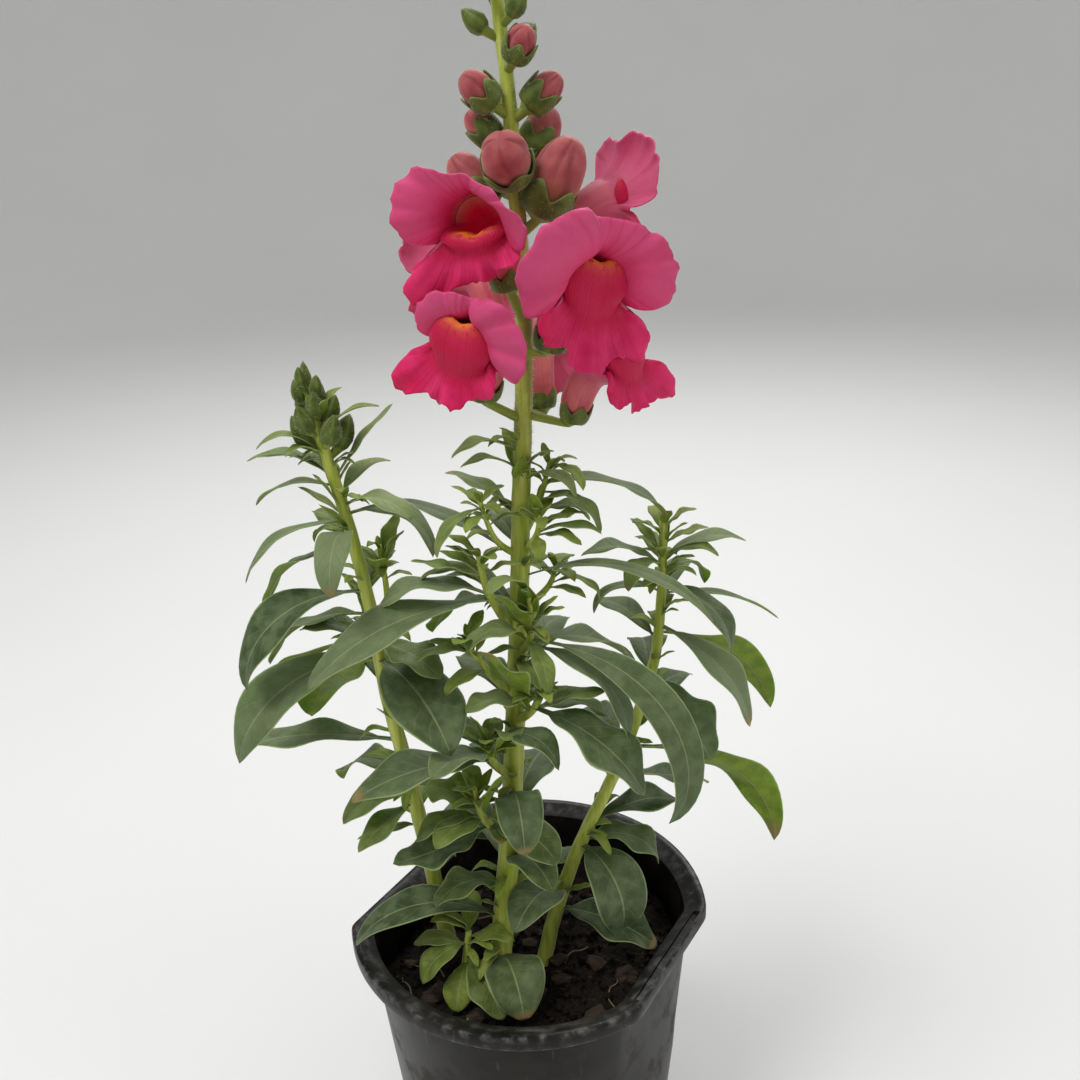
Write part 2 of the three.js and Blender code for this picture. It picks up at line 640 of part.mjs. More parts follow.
const MAIN_FAR = {
  from: 112, to: 258, count: 15, middle: 106, arc: 100, length: [44, 22], width: [16, 6], seed: 11,
};
const LEFT_FAR = {
  from: 112, to: 262, count: 9, middle: 108, arc: 130, length: [40, 20], width: [14, 6], seed: 12,
};
const RIGHT_FAR = {
  from: 128, to: 228, count: 8, middle: 86, arc: 110, length: [42, 22], width: [14, 6], seed: 13,
};

function leafyStem(parts, leaves, extras) {
  const solids = [];
  for (const [name, shape] of Object.entries(parts)) {
    const stem = new Stem(shape);
    solids.push(name === "stem" ? stem.solid(8, 1) : stem.solid(5, 1));
    for (const row of leaves[name] ?? []) {
      solids.push(leafSolid(stem, row));
    }
  }
  return fuse([...solids, ...extras]);
}

// ---- Flowers and buds ---------------------------------------------------------------------

const MAIN = new Stem(MAIN_STEM.stem);
const LEFT = new Stem(LEFT_STEM.stem);

// The frame that a flower or bud faces along, at a point.
function facing(point, face, tilt, roll = 0) {
  const forward = direction(face, tilt);
  const level = direction(face + 90, 0);
  const up = vector(0, 0, 0).crossVectors(forward, level);
  const turn = radians(roll);
  const left = level.clone().multiplyScalar(Math.cos(turn)).addScaledVector(up, Math.sin(turn));
  const top = vector(0, 0, 0).crossVectors(forward, left);
  return new THREE.Matrix4().makeBasis(forward, left, top).setPosition(point);
}

// A bud's foot is at the end of its pedicel.
function budFrame({ height, azimuth, pedicel, lift, face, tilt }) {
  const reach = MAIN.radiusAt(height) + pedicel;
  const foot = MAIN.at(height).addScaledVector(direction(azimuth, lift), reach);
  return facing(foot, face, tilt);
}

// A flower is placed by the middle of its mouth; its tube leads back to the foot.
function flowerFrame({ mouth, face, tilt, roll, bend, size }) {
  const end = tubeLine(bend, size)[TUBE_STEPS];
  const frame = facing(vector(0, 0, 0), face, tilt, roll);
  const offset = vector(end.x, 0, end.z).applyMatrix4(frame);
  return frame.setPosition(vector(...mouth).sub(offset));
}

// Centre line of a corolla's tube, in its frame: it leaves the foot at a pitch and levels out.
function tubeLine(bend, size) {
  const line = [{ x: 0, z: 0, pitch: radians(bend) }];
  for (let i = 1; i <= TUBE_STEPS; i += 1) {
    const pitch = radians(bend) * (1 - (i / TUBE_STEPS) ** TUBE_BEND_POWER);
    const last = line[i - 1];
    const step = (size * TUBE_LENGTH) / TUBE_STEPS;
    line.push({ x: last.x + step * Math.cos(pitch), z: last.z + step * Math.sin(pitch), pitch });
  }
  return line;
}

function tubeRing(line, [distance, radius, sag], size) {
  const { x, z, pitch } = line[Math.round((distance / TUBE_LENGTH) * TUBE_STEPS)];
  return PETAL_EDGE.map(([angle]) => {
    const turn = radians(angle);
    const across = size * radius * Math.cos(turn);
    const up = size * (radius * Math.sin(turn) + sag * Math.min(0, Math.sin(turn)));
    return vector(x - up * Math.sin(pitch), across, z + up * Math.cos(pitch));
  });
}

// A value given for each of the five lobes, read at a lobe number; a half lies between two.
function forLobe(values, lobe) {
  const first = Math.floor(lobe);
  const share = lobe - first;
  return values[first] * (1 - share) + values[(first + 1) % values.length] * share;
}

// How far a direction round the mouth belongs to the lower lip: 0 at the sides, 1 straight down.
function lowness(angle) {
  return Math.max(0, -Math.sin(radians(angle))) ** PALATE.flatness;
}

// A point of the petal, a share of the way from the mouth to its edge.
function petalPoint([angle, edge, start, end, lobe], outward, mouth, flower) {
  const turn = radians(angle + forLobe(flower.turn, lobe) * outward);
  const low = lowness(angle);
  const length = flower.size * edge * forLobe(flower.reach, lobe) * outward;
  const fullPitch = end + forLobe(flower.curl, lobe) - start;
  let forward = flower.size * LOWER_LIP.forward * low;
  let radial = flower.size * MOUTH_RADIUS;
  for (let k = 0; k < PETAL_STEPS; k += 1) {
    const pitch = radians(start + (fullPitch * outward * (k + 0.5)) / PETAL_STEPS);
    forward += (Math.cos(pitch) * length) / PETAL_STEPS;
    radial += (Math.sin(pitch) * length) / PETAL_STEPS;
  }
  const across = radial * (1 + LOWER_LIP.widen * low * (1 - outward) ** 2);
  const sag = forLobe(flower.hang, lobe) * outward ** 2;
  return vector(mouth.x + forward, across * Math.cos(turn), mouth.z + radial * Math.sin(turn) - sag);
}

// The rows of petal points moved half the petal's thickness to its front (1) or its back (-1).
function petalFace(rows, side) {
  return rows.map((row, i) => row.map((point, j) => {
    const around = vector(0, 0, 0)
      .subVectors(row[(j + 1) % row.length], row[(j + row.length - 1) % row.length]);
    const onward = vector(0, 0, 0)
      .subVectors(rows[Math.min(rows.length - 1, i + 1)][j], rows[Math.max(0, i - 1)][j]);
    const normal = vector(0, 0, 0).crossVectors(onward, around).normalize();
    return point.clone().addScaledVector(normal, (side * PETAL_THICKNESS) / 2);
  }));
}

// The palate is full all round, but for the cleft between its two humps.
function palateFullness(angle) {
  return 1 - CLEFT.depth * Math.exp(-(((angle - 270) / CLEFT.width) ** 2));
}

// The crest of the palate in the lower half of the mouth; the mouth's own rim in the upper half.
function crestPoint([angle], mouth, { size, gape }) {
  const turn = radians(angle);
  const low = lowness(angle);
  const full = palateFullness(angle);
  const radius = size * (MOUTH_RADIUS - PETAL_THICKNESS);
  const across = radius * (1 + PALATE.widen * low);
  const forward = size * (PETAL_THICKNESS / 2 + (LOWER_LIP.forward + PALATE.forward * full) * low);
  const rise = size * (PALATE.rise * full - gape) * low;
  return vector(mouth.x + forward, across * Math.cos(turn), mouth.z + radius * Math.sin(turn) + rise);
}

// The lower lip's bulge, part of the way from the lobes' root up to the palate's crest.
function chinPoint([angle], root, crest, { size }) {
  const low = lowness(angle);
  const point = root.clone().lerp(crest, CHIN.low);
  point.x += size * CHIN.forward * low * palateFullness(angle) ** 2;
  point.y *= 1 + CHIN.widen * low;
  return point;
}

// Tube, petal and throat are one skin: up the outside, over the petal's edge and down inside.
function corolla(flower) {
  const { size, bend } = flower;
  const line = tubeLine(bend, size);
  const mouth = line[TUBE_STEPS];
  const rows = PETAL_ROWS.map((outward) => (
    PETAL_EDGE.map((station) => petalPoint(station, outward, mouth, flower))
  ));
  const throat = PETAL_EDGE.map(([angle]) => {
    const turn = radians(angle);
    const reach = size * THROAT.radius;
    return vector(
      mouth.x - 0.5 * size * THROAT.depth,
      reach * Math.cos(turn),
      mouth.z + reach * Math.sin(turn),
    );
  });
  const [root, ...front] = petalFace(rows, 1);
  const crest = PETAL_EDGE.map((station) => crestPoint(station, mouth, flower));
  return loft([
    ...TUBE_PROFILE.map((station) => tubeRing(line, station, size)),
    ...petalFace(rows, -1),
    ...front.reverse(),
    PETAL_EDGE.map((station, k) => chinPoint(station, root[k], crest[k], flower)),
    crest,
    throat,
    [vector(mouth.x - size * THROAT.depth, 0, mouth.z)],
  ]);
}

// A regular ring in a frame, across its forward axis.
function ringAt(frame, forward, radius, sides) {
  const ring = [];
  for (let k = 0; k < sides; k += 1) {
    const turn = radians(90 + (360 * k) / sides);
    const point = vector(forward, radius * Math.cos(turn), radius * Math.sin(turn));
    ring.push(point.applyMatrix4(frame));
  }
  return ring;
}

// The same frame, moved to another point.
function movedTo(frame, point) {
  return frame.clone().setPosition(point);
}

// The cup's rim goes up to five sepal points and down to five notches between them. It leans
// down with the pouch of the tube that it holds.
function calyx(start, frame, girth, depth, lean) {
  const seat = -SEAT_GAP;
  const rim = (reach) => {
    const leaning = movedTo(frame, vector(0, 0, -lean).applyMatrix4(frame));
    const tips = ringAt(leaning, depth, reach, 10);
    const notches = ringAt(leaning, SEPAL_NOTCH * depth, 0.94 * reach, 10);
    return tips.map((tip, k) => (k % 2 === 0 ? tip : notches[k]));
  };
  return loft([
    ringAt(movedTo(frame, start), 0, PEDICEL_RADIUS, 5),
    ringAt(frame, seat - 2, PEDICEL_RADIUS, 5),
    ringAt(frame, seat - 0.6, CALYX_FOOT.outside * girth, 5),
    rim(girth + SEPAL_CLEARANCE + SEPAL_THICKNESS),
    rim(girth + SEPAL_CLEARANCE),
    ringAt(frame, seat, CALYX_FOOT.inside * girth, 5),
    [vector(seat, 0, 0).applyMatrix4(frame)],
  ]);
}

const BUD_SIDES = 8;
const BUD_FOLDS = 0.1; // depth of the grooves between a bud's rolled petals
const BUD_PROFILE = [[0, 0.45], [0.15, 0.8], [0.42, 1], [0.7, 0.9], [0.92, 0.5]];

// A closed bud: an egg of overlapping lobes, so its section has shallow folds.
function budSolid(frame, { length, girth }) {
  const rings = BUD_PROFILE.map(([share, wide]) => {
    const crests = ringAt(frame, length * share, girth * wide, BUD_SIDES);
    const grooves = ringAt(frame, length * share, girth * wide * (1 - BUD_FOLDS), BUD_SIDES);
    return crests.map((crest, k) => (k % 2 === 0 ? crest : grooves[k]));
  });
  return loft([...rings, [vector(length, 0, 0).applyMatrix4(frame)]]);
}

// Open flowers, from the foot of the spike up: where the pedicel leaves the stem, the middle of
// the mouth, where the face looks (face, tilt, roll), how far the tube bends down to it and how
// much the palate is dropped (gape). Reach, curl, hang and turn (round the mouth) are given for
// each of the five lobes: upper left and right, then lower right, middle and left, as the flower
// itself has them.
const FLOWERS = [
  { name: "front_left_low", height: 273, mouth: [-8.5, -20, 299.5],
    face: -118, tilt: -4, roll: -14, size: 0.98, bend: 84, gape: 0,
    reach: [1.05, 0.62, 1.15, 0.65, 0.55], curl: [4, -6, 10, 0, 6], hang: [3, 1, 0, 0, 0],
    turn: [-10, -6, 0, 0, 0] },
  { name: "right_low", height: 275, mouth: [29, -9, 290.5],
    face: -38, tilt: 12, roll: 0, size: 0.88, bend: 60, gape: 0,
    reach: [0.6, 0.45, 0.75, 0.6, 1.3], curl: [20, 20, 6, 0, 0], hang: [3, 3, 0, 0, 0],
    turn: [0, 0, 0, 0, 10] },
  { name: "back_low", height: 275, mouth: [11, 29, 290],
    face: 82, tilt: 5, roll: -5, size: 0.9, bend: 72, gape: 0,
    reach: [1, 1, 1, 1.1, 1], curl: [6, 0, 6, 10, 0], hang: [4, 4, 0, 0, 0],
    turn: [0, 0, 0, 0, 0] },
  { name: "front_right_middle", height: 293, mouth: [21.5, -15, 312],
    face: -66, tilt: -2, roll: -10, size: 1, bend: 78, gape: 0,
    reach: [1.0, 1.5, 0.9, 1.0, 1.15], curl: [-6, -6, 0, 0, 16], hang: [2, 4, 0, 0, 0],
    turn: [-14, 18, 0, 0, 0] },
  { name: "front_left_middle", height: 301, mouth: [-4.5, -19, 329.5],
    face: -108, tilt: 0, roll: 8, size: 0.96, bend: 80, gape: 10,
    reach: [1.05, 1.0, 1.3, 0.5, 0.75], curl: [-46, -6, 10, 30, -40], hang: [7, 3, 2, 0, 0],
    turn: [-14, 6, -6, 0, 0] },
  { name: "back_left_middle", height: 294, mouth: [-10, 22, 313],
    face: 130, tilt: 5, roll: 5, size: 0.88, bend: 72, gape: 0,
    reach: [1, 1, 1, 1.1, 1], curl: [0, 6, 0, 8, 4], hang: [4, 4, 0, 0, 0],
    turn: [0, 0, 0, 0, 0] },
  { name: "back_right_high", height: 306, mouth: [28, 14, 330],
    face: 25, tilt: 8, roll: 0, size: 0.88, bend: 72, gape: 0,
    reach: [1.1, 1.1, 1, 1, 1], curl: [0, 0, 6, 4, 0], hang: [3, 1, 0, 0, 0],
    turn: [0, 0, 0, 0, 0] },
];

// Coloured buds above the open flowers, which get smaller towards the tip. The calyx covers
// more of a young bud.
const PINK_BUDS = [
  { name: "front", height: 336, azimuth: -105, pedicel: 4, lift: 40,
    face: -105, tilt: 40, length: 14, girth: 6.6, cover: 0.44 },
  { name: "right_large", height: 324, azimuth: -14, pedicel: 6, lift: 45,
    face: -12, tilt: 62, length: 21.5, girth: 7, cover: 0.42 },
  { name: "right_upper", height: 339, azimuth: 44, pedicel: 6, lift: 38,
    face: 44, tilt: 55, length: 15, girth: 5.2, cover: 0.5 },
  { name: "left_back", height: 326, azimuth: 168, pedicel: 8, lift: 40,
    face: 165, tilt: 52, length: 16, girth: 5.6, cover: 0.46 },
  { name: "back", height: 331, azimuth: 92, pedicel: 8, lift: 30,
    face: 92, tilt: 40, length: 14, girth: 5, cover: 0.46 },
  { name: "left_upper", height: 345, azimuth: 160, pedicel: 4.5, lift: 35,
    face: 160, tilt: 45, length: 10, girth: 3.8, cover: 0.62 },
  { name: "right_top", height: 353, azimuth: -15, pedicel: 4.5, lift: 35,
    face: -15, tilt: 40, length: 11, girth: 4, cover: 0.66 },
  { name: "left_top", height: 354, azimuth: -155, pedicel: 4.5, lift: 35,
    face: -155, tilt: 40, length: 10.5, girth: 4.2, cover: 0.6 },
  { name: "front_top", height: 365, azimuth: -60, pedicel: 4, lift: 35,
    face: -60, tilt: 45, length: 9, girth: 3.7, cover: 0.7 },
];

// Green buds crowd the tip of a spike: each is a closed calyx over a still hidden corolla.
// Their tilt goes from the first number of lean, at the lowest bud, up by the second.
function greenBuds(stem, { from, to, count, reach, length, girth, shrink, lean, seed }) {
  const random = makeRandom(seed);
  const solids = [];
  for (let i = 0; i < count; i += 1) {
    const share = i / (count - 1);
    const start = stem.at(from + (to - from) * share);
    const azimuth = 40 + i * GOLDEN_ANGLE + 14 * (random() - 0.5);
    const size = 1 - shrink * share;
    const foot = start.clone().addScaledVector(direction(azimuth, 30), reach * size);
    const frame = facing(foot, azimuth, lean[0] + lean[1] * share);
    solids.push(loft([
      ringAt(movedTo(frame, start), 0, 0.8 * PEDICEL_RADIUS * size, 5),
      ringAt(frame, 0, 0.45 * girth * size, 5),
      ringAt(frame, 0.34 * length * size, girth * size, 5),
      ringAt(frame, 0.75 * length * size, 0.72 * girth * size, 5),
      [vector(length * size, 0, 0).applyMatrix4(frame)],
    ]));
  }
  const crown = facing(stem.at(to), 0, 90);
  const crownGirth = 1.4 * girth * (1 - shrink);
  solids.push(loft([
    ringAt(crown, -1, crownGirth, 5),
    ringAt(crown, 0.3 * length, 0.8 * crownGirth, 5),
    [vector(0.7 * length, 0, 0).applyMatrix4(crown)],
  ]));
  return solids;
}

// ---- Assembly -----------------------------------------------------------------------------

const TOP_BUDS = {
  from: 369, to: 408, count: 13, reach: 5, length: 8.5, girth: 3.1, shrink: 0.62,
  lean: [38, 38], seed: 21,
};
const LEFT_BUDS = {
  from: 265, to: 286, count: 13, reach: 4.3, length: 11, girth: 3.4, shrink: 0.5,
  lean: [60, 22], seed: 22,
};
const FLOWER_CALYX_DEPTH = 5.5;
const POUCH_LEAN = 0.9; // how far a tube's pouch hangs and bends over its calyx

const spike = [];
for (const flower of FLOWERS) {
  const frame = flowerFrame(flower);
  addNode(`flower_${flower.name}`, corolla(flower).transform(frame.elements), PINK, 0.55);
  const seat = frame.multiply(new THREE.Matrix4().makeRotationY(-radians(flower.bend)));
  const girth = flower.size * TUBE_PROFILE[1][1];
  spike.push(calyx(MAIN.at(flower.height), seat, girth, FLOWER_CALYX_DEPTH, POUCH_LEAN));
}
for (const bud of PINK_BUDS) {
  const frame = budFrame(bud);
  addNode(`bud_${bud.name}`, budSolid(frame, bud), ROSE, 0.6);
  spike.push(calyx(MAIN.at(bud.height), frame, bud.girth, bud.cover * bud.length, 0));
}

addNode("main_stem", leafyStem(
  MAIN_STEM,
  { ...MAIN_LEAVES, stem: [...MAIN_LEAVES.stem, ...farLeaves(MAIN_FAR)] },
  [...spike, ...greenBuds(MAIN, TOP_BUDS)],
), GREEN, 0.6);
addNode("left_stem", leafyStem(
  LEFT_STEM,
  { ...LEFT_LEAVES, stem: [...LEFT_LEAVES.stem, ...farLeaves(LEFT_FAR)] },
  greenBuds(LEFT, LEFT_BUDS),
), GREEN, 0.6);
addNode("right_stem", leafyStem(
  RIGHT_STEM,
  { stem: [...RIGHT_LEAVES.stem, ...farLeaves(RIGHT_FAR)] },
  [],
), GREEN, 0.6);
addNode("front_shoot", leafyStem(FRONT_SHOOT, FRONT_SHOOT_LEAVES, []), GREEN, 0.6);

addNode("pot", buildPot(), POT_BLACK, 0.6);
const stemHoles = [MAIN_STEM, LEFT_STEM, RIGHT_STEM, FRONT_SHOOT].map(({ stem }) => {
  const [[x, y, z], above] = stem.points;
  const radius = stem.radius[0] + 1.3 * SEAT_GAP;
  return new Stem({ points: [[x, y, z - SEAT_GAP], above], radius: [radius, radius] }).solid(8, 1);
});
addNode("soil", buildSoil(stemHoles), SOIL_BROWN, 0.95);

export default plant;
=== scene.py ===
"""The look of a snapdragon in its nursery pot: fine petals, leaves, hairs, soil and worn plastic.

Lengths are in millimetres until a piece is made. +Z is up and -Y is the plant's front.
"""
import math

import bmesh
import bpy
import numpy as np
from mathutils import Matrix, Vector, noise


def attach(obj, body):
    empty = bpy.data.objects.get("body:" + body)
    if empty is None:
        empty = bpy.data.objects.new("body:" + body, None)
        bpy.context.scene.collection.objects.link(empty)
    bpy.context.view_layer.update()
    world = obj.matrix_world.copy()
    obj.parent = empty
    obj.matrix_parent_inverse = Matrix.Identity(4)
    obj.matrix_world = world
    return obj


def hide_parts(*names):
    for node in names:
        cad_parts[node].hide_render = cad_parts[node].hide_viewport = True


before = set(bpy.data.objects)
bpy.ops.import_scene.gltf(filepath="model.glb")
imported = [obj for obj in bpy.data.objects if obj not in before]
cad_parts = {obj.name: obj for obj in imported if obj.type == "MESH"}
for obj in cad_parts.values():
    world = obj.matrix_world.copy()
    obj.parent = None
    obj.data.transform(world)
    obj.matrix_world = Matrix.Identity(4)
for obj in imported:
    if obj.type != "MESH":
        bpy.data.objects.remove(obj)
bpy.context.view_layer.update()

MM = 0.001
GOLDEN_ANGLE = 137.5  # turn from one leaf to the next, degrees
POT_SHARP = 38  # edges that bend more than this look sharp, degrees
BARK_SHARP = 24

# ---- Camera: the photograph's place, in millimetres and degrees ----------------------------

IMAGE_SIDE = 1080
FOCAL_PIXELS = 1083
CAMERA_PLACE = (0, -301.5, 351.5)
CAMERA_PITCH = 20.9
CAMERA_YAW = 1.55
CAMERA_ROLL = -2.05

# ---- Studio: a round floor that curves up to a wall, and its lights -------------------------

COVE = {"floor": 1900, "curve": 1100, "height": 2400, "drop": -0.4, "sides": 96}
SKY = {"Color": (0.86, 0.87, 0.88, 1), "Strength": 0.62}
LIGHTS = (  # name, place and size in metres, power in watts
    ("key", (-0.5, -0.35, 1.35), 0.6, 9),
    ("side", (0.9, -0.5, 0.7), 0.5, 1.5),
    ("back", (0.2, 0.9, 1.1), 0.6, 7),
)
LIGHTS_AIM = (0, 0, 0.25)

# ---- Pot and soil, as in the CAD model but with more sides ---------------------------------

POT_HEIGHT = 105
RIM_RADIUS = 60
RIM_BAND = 3.6  # width of the sloping band on top of the rim
RIM_LIP = 5.2  # height of the lip that hangs outside the wall
RIM_SLOPE = 1.2  # fall of the band towards the inside
RIM_EDGE = 0.8  # rounding along the rim's edges
RIM_STEM = 1.5  # from the band's inner edge down to the wall
BODY_TOP_RADIUS = 54.4
BODY_FOOT_RADIUS = 44.5
FOOT_CHAMFER = 2.5
WAIST = 50  # below this height the flats no longer reach the wall's full depth
WALL = 1.6
FLOOR_THICKNESS = 2
FLOOR_FILLET = 1
FLATS = (  # azimuth, distance from the middle, how much deeper the wall is pressed in
    (-33, 54.3, 0.6),
    (147, 46, 9),
)
FLAT_FADE = 70  # a flat fades out this far below the rim
FLAT_ROUNDING = 1.1  # softness of the corner between a flat and the round rim
RIM_STEP = {"height": 1.5, "width": 2.4, "inset": 2.3, "margin": 3}  # behind the first flat
POT_SIDES = 252
DRAIN_HOLES = 6
DRAIN_RADIUS = 4
DRAIN_CIRCLE = 31
SOIL_TOP = 86
SOIL_BUMP = 1.1
SOIL_SHRINKAGE = 0.6  # the CAD model's soil stands further off the wall
SEAT_GAP = 0.35  # clearance between solids that touch on the real plant
SOIL_FOOT = (0.84, 0.87)  # share of the waist's reach at the soil's foot and just above it
STEM_CLEARANCE = 7  # how far litter keeps from the stems' middles
LITTER_SEED = 5
# Litter: lift is the middle's height above the soil, a fixed part and a share of the size.
CRUMBS = {"count": 520, "size": (0.5, 1.5), "lift": (0.3, 0.35), "flat": 0.8, "subdivisions": 2}
CHIPS = {"count": 30, "size": (2.4, 6), "lift": (0.8, 0), "flat": 0.4, "subdivisions": 1}
ROOTS = {"count": 16, "joints": 7, "stride": (1.5, 3), "turn": 40, "radius": (0.3, 0.14)}

# ---- Leaf blades: the first four values as in the CAD model ---------------------------------

LEAF_FOLD = 14  # each half rises this much from the midrib, degrees
BLADE_SPREAD = 1.15  # a flat blade is this much wider than it looks when folded
DROOP_POWER = 1.4  # a leaf bends more towards its tip
MIDRIB_STEPS = 24
BLADE_THICKNESS = 0.34
MIDRIB_RIDGE = 0.55
LARGE_LEAF = 17  # leaves longer than this have twice as many rows
DRY_LEAF = 0.86  # leaves whose draw is above this have a dry tip

# ---- Corolla and calyx, as in the CAD model but with more steps and rows --------------------

TUBE_LENGTH = 26
TUBE_STEPS = 20  # straight steps along the tube's bend
TUBE_BEND_POWER = 2  # the tube stays steep and levels out near its mouth
TUBE_PROFILE = (  # distance along the tube, radius, sag of the pouch below it
    (0, 2.3, 0), (4.6, 4.5, 1), (11, 5, 0.7), (17, 5.3, 0.3), (22.5, 6.4, 0.1),
)
MOUTH_RADIUS = 7.2
PETAL_THICKNESS = 0.9
PETAL_RIM = 0.34  # the edge's thickness as a share of the root's
PETAL_STEPS = 24  # straight steps along a petal's curl
LOWER_LIP = {"forward": 7, "widen": 0.36}  # how the lower lip leaves the mouth
PALATE = {"forward": -0.6, "rise": 14, "widen": 0.42, "flatness": 0.6}
CHIN = {"forward": 1.9, "low": 0.5, "widen": 0.42}  # bulge between the palate and the lobes
THROAT = {"depth": 5, "radius": 3}

# The petal's edge round the mouth: angle (0 is the flower's left, 90 its top), reach, how
# steeply it leaves the mouth at the root and at the edge (0 is forward, 90 outward), and its
# lobe (0 and 1 make the upper lip, 2 to 4 the lower lip; a half is a notch between two).
PETAL_EDGE = (
    (-6, 4, 30, 60, -0.5),
    (12, 15, 14, 94, 0),
    (38, 20.5, 10, 100, 0),
    (66, 20, 10, 100, 0),
    (90, 15.5, 14, 94, 0.5),
    (114, 20, 10, 100, 1),
    (142, 20.5, 10, 100, 1),
    (168, 15, 14, 94, 1),
    (186, 4, 30, 60, 1.5),
    (205, 10, 70, 84, 2),
    (224, 14.5, 90, 72, 2),
    (243, 10.5, 96, 64, 2.5),
    (260, 14, 100, 66, 3),
    (280, 14, 100, 66, 3),
    (297, 10.5, 96, 64, 3.5),
    (316, 14.5, 90, 72, 4),
    (335, 10, 70, 84, 4),
)
EDGE_FINE = 9  # columns between two stations of the edge
PETAL_ROWS = 16  # rows from the mouth to the edge

SEPAL_CLEARANCE = 0.4  # the CAD model leaves more room
SEPAL_NOTCH = 0.5  # how far up the notches between the sepals are
CALYX_ROWS = (0.12, 0.3, 0.55, 0.8, 1.0)  # shares of the way to the sepals' points
CALYX_SIDES = 60
SEPAL_THICKNESS = 0.7
CALYX_FLOOR = 0.6
PEDICEL_RADIUS = 1.4
PEDICEL_END = 2  # how far behind the calyx its stalk is straight

# ---- Stems: radius at foot and tip, and points from foot to tip -----------------------------

STEM_FOOT = 76
BLUSH = (300, 26)  # the height where the main stem is reddest, and how far the red spreads
MAIN_STEM = {
    "stem": ((3.8, 1.5), (
        (-12, -16, STEM_FOOT), (-9, -13, 105), (-5, -10, 140), (-2, -7, 176), (1, -4, 215),
        (3, -1, 250), (5, 1, 280), (6, 2, 307), (5, 3, 340), (4, 3, 362), (2, 4, 386), (1, 4, 412),
    )),
    "leftHigh": ((1.6, 0.8), ((-2, -5, 210), (-8, -10, 225), (-10, -12, 237))),
    "leftMiddle": ((1.5, 0.8), ((-3, -6, 189), (-9, -11, 199), (-15, -14, 210))),
    "frontHigh": ((1.5, 0.7), ((0, -5, 201), (4, -11, 210), (4, -14, 224))),
    "frontMiddle": ((1.6, 0.8), ((-2, -7, 179), (4, -14, 187), (6, -16, 195))),
    "leftLow": ((1.6, 0.8), ((-4, -9, 160), (-9, -15, 170), (-11, -17, 178))),
    "footLeft": ((1.6, 0.8), ((-6, -11, 139), (-13, -18, 152), (-15, -20, 164))),
    "topLeft": ((1.2, 0.6), ((2, -2, 232), (-5, -5, 239), (-9, -8, 252))),
    "topRight": ((1.3, 0.6), ((3, -1, 238), (8, -1, 248), (12, -2, 262))),
    "topFront": ((1.2, 0.6), ((3, -2, 233), (7, -8, 241), (8, -10, 248))),
    "rightHigh": ((1.3, 0.6), ((1, -3, 214), (10, 2, 220), (13, 4, 226))),
}
LEFT_STEM = {
    "stem": ((2.9, 1.5), (
        (-27, 2, STEM_FOOT), (-30, 4, 96), (-34, 5, 127), (-39, 4, 164), (-42, 2, 187),
        (-44, 0, 216), (-48, -2, 246), (-53, -4, 272), (-56, -4, 291),
    )),
    "sideRight": ((1.3, 0.7), ((-43, 1, 205), (-39, 2, 218), (-40, 3, 236))),
}
RIGHT_STEM = {
    "stem": ((2.7, 1.3), (
        (2, -8, STEM_FOOT), (9, -5, 104), (18, 0, 127), (32, 4, 156), (43, 8, 187),
        (46, 10, 210), (47, 12, 236),
    )),
}
FRONT_SHOOT = {
    "stem": ((2, 1), ((-22, -20, STEM_FOOT), (-22, -19, 92), (-20, -17, 108))),
}

# ---- Leaves: height on the stem, azimuth, length, width, rise, droop, sweep, roll -----------
# Sweep and roll are 0 where a row leaves them out.

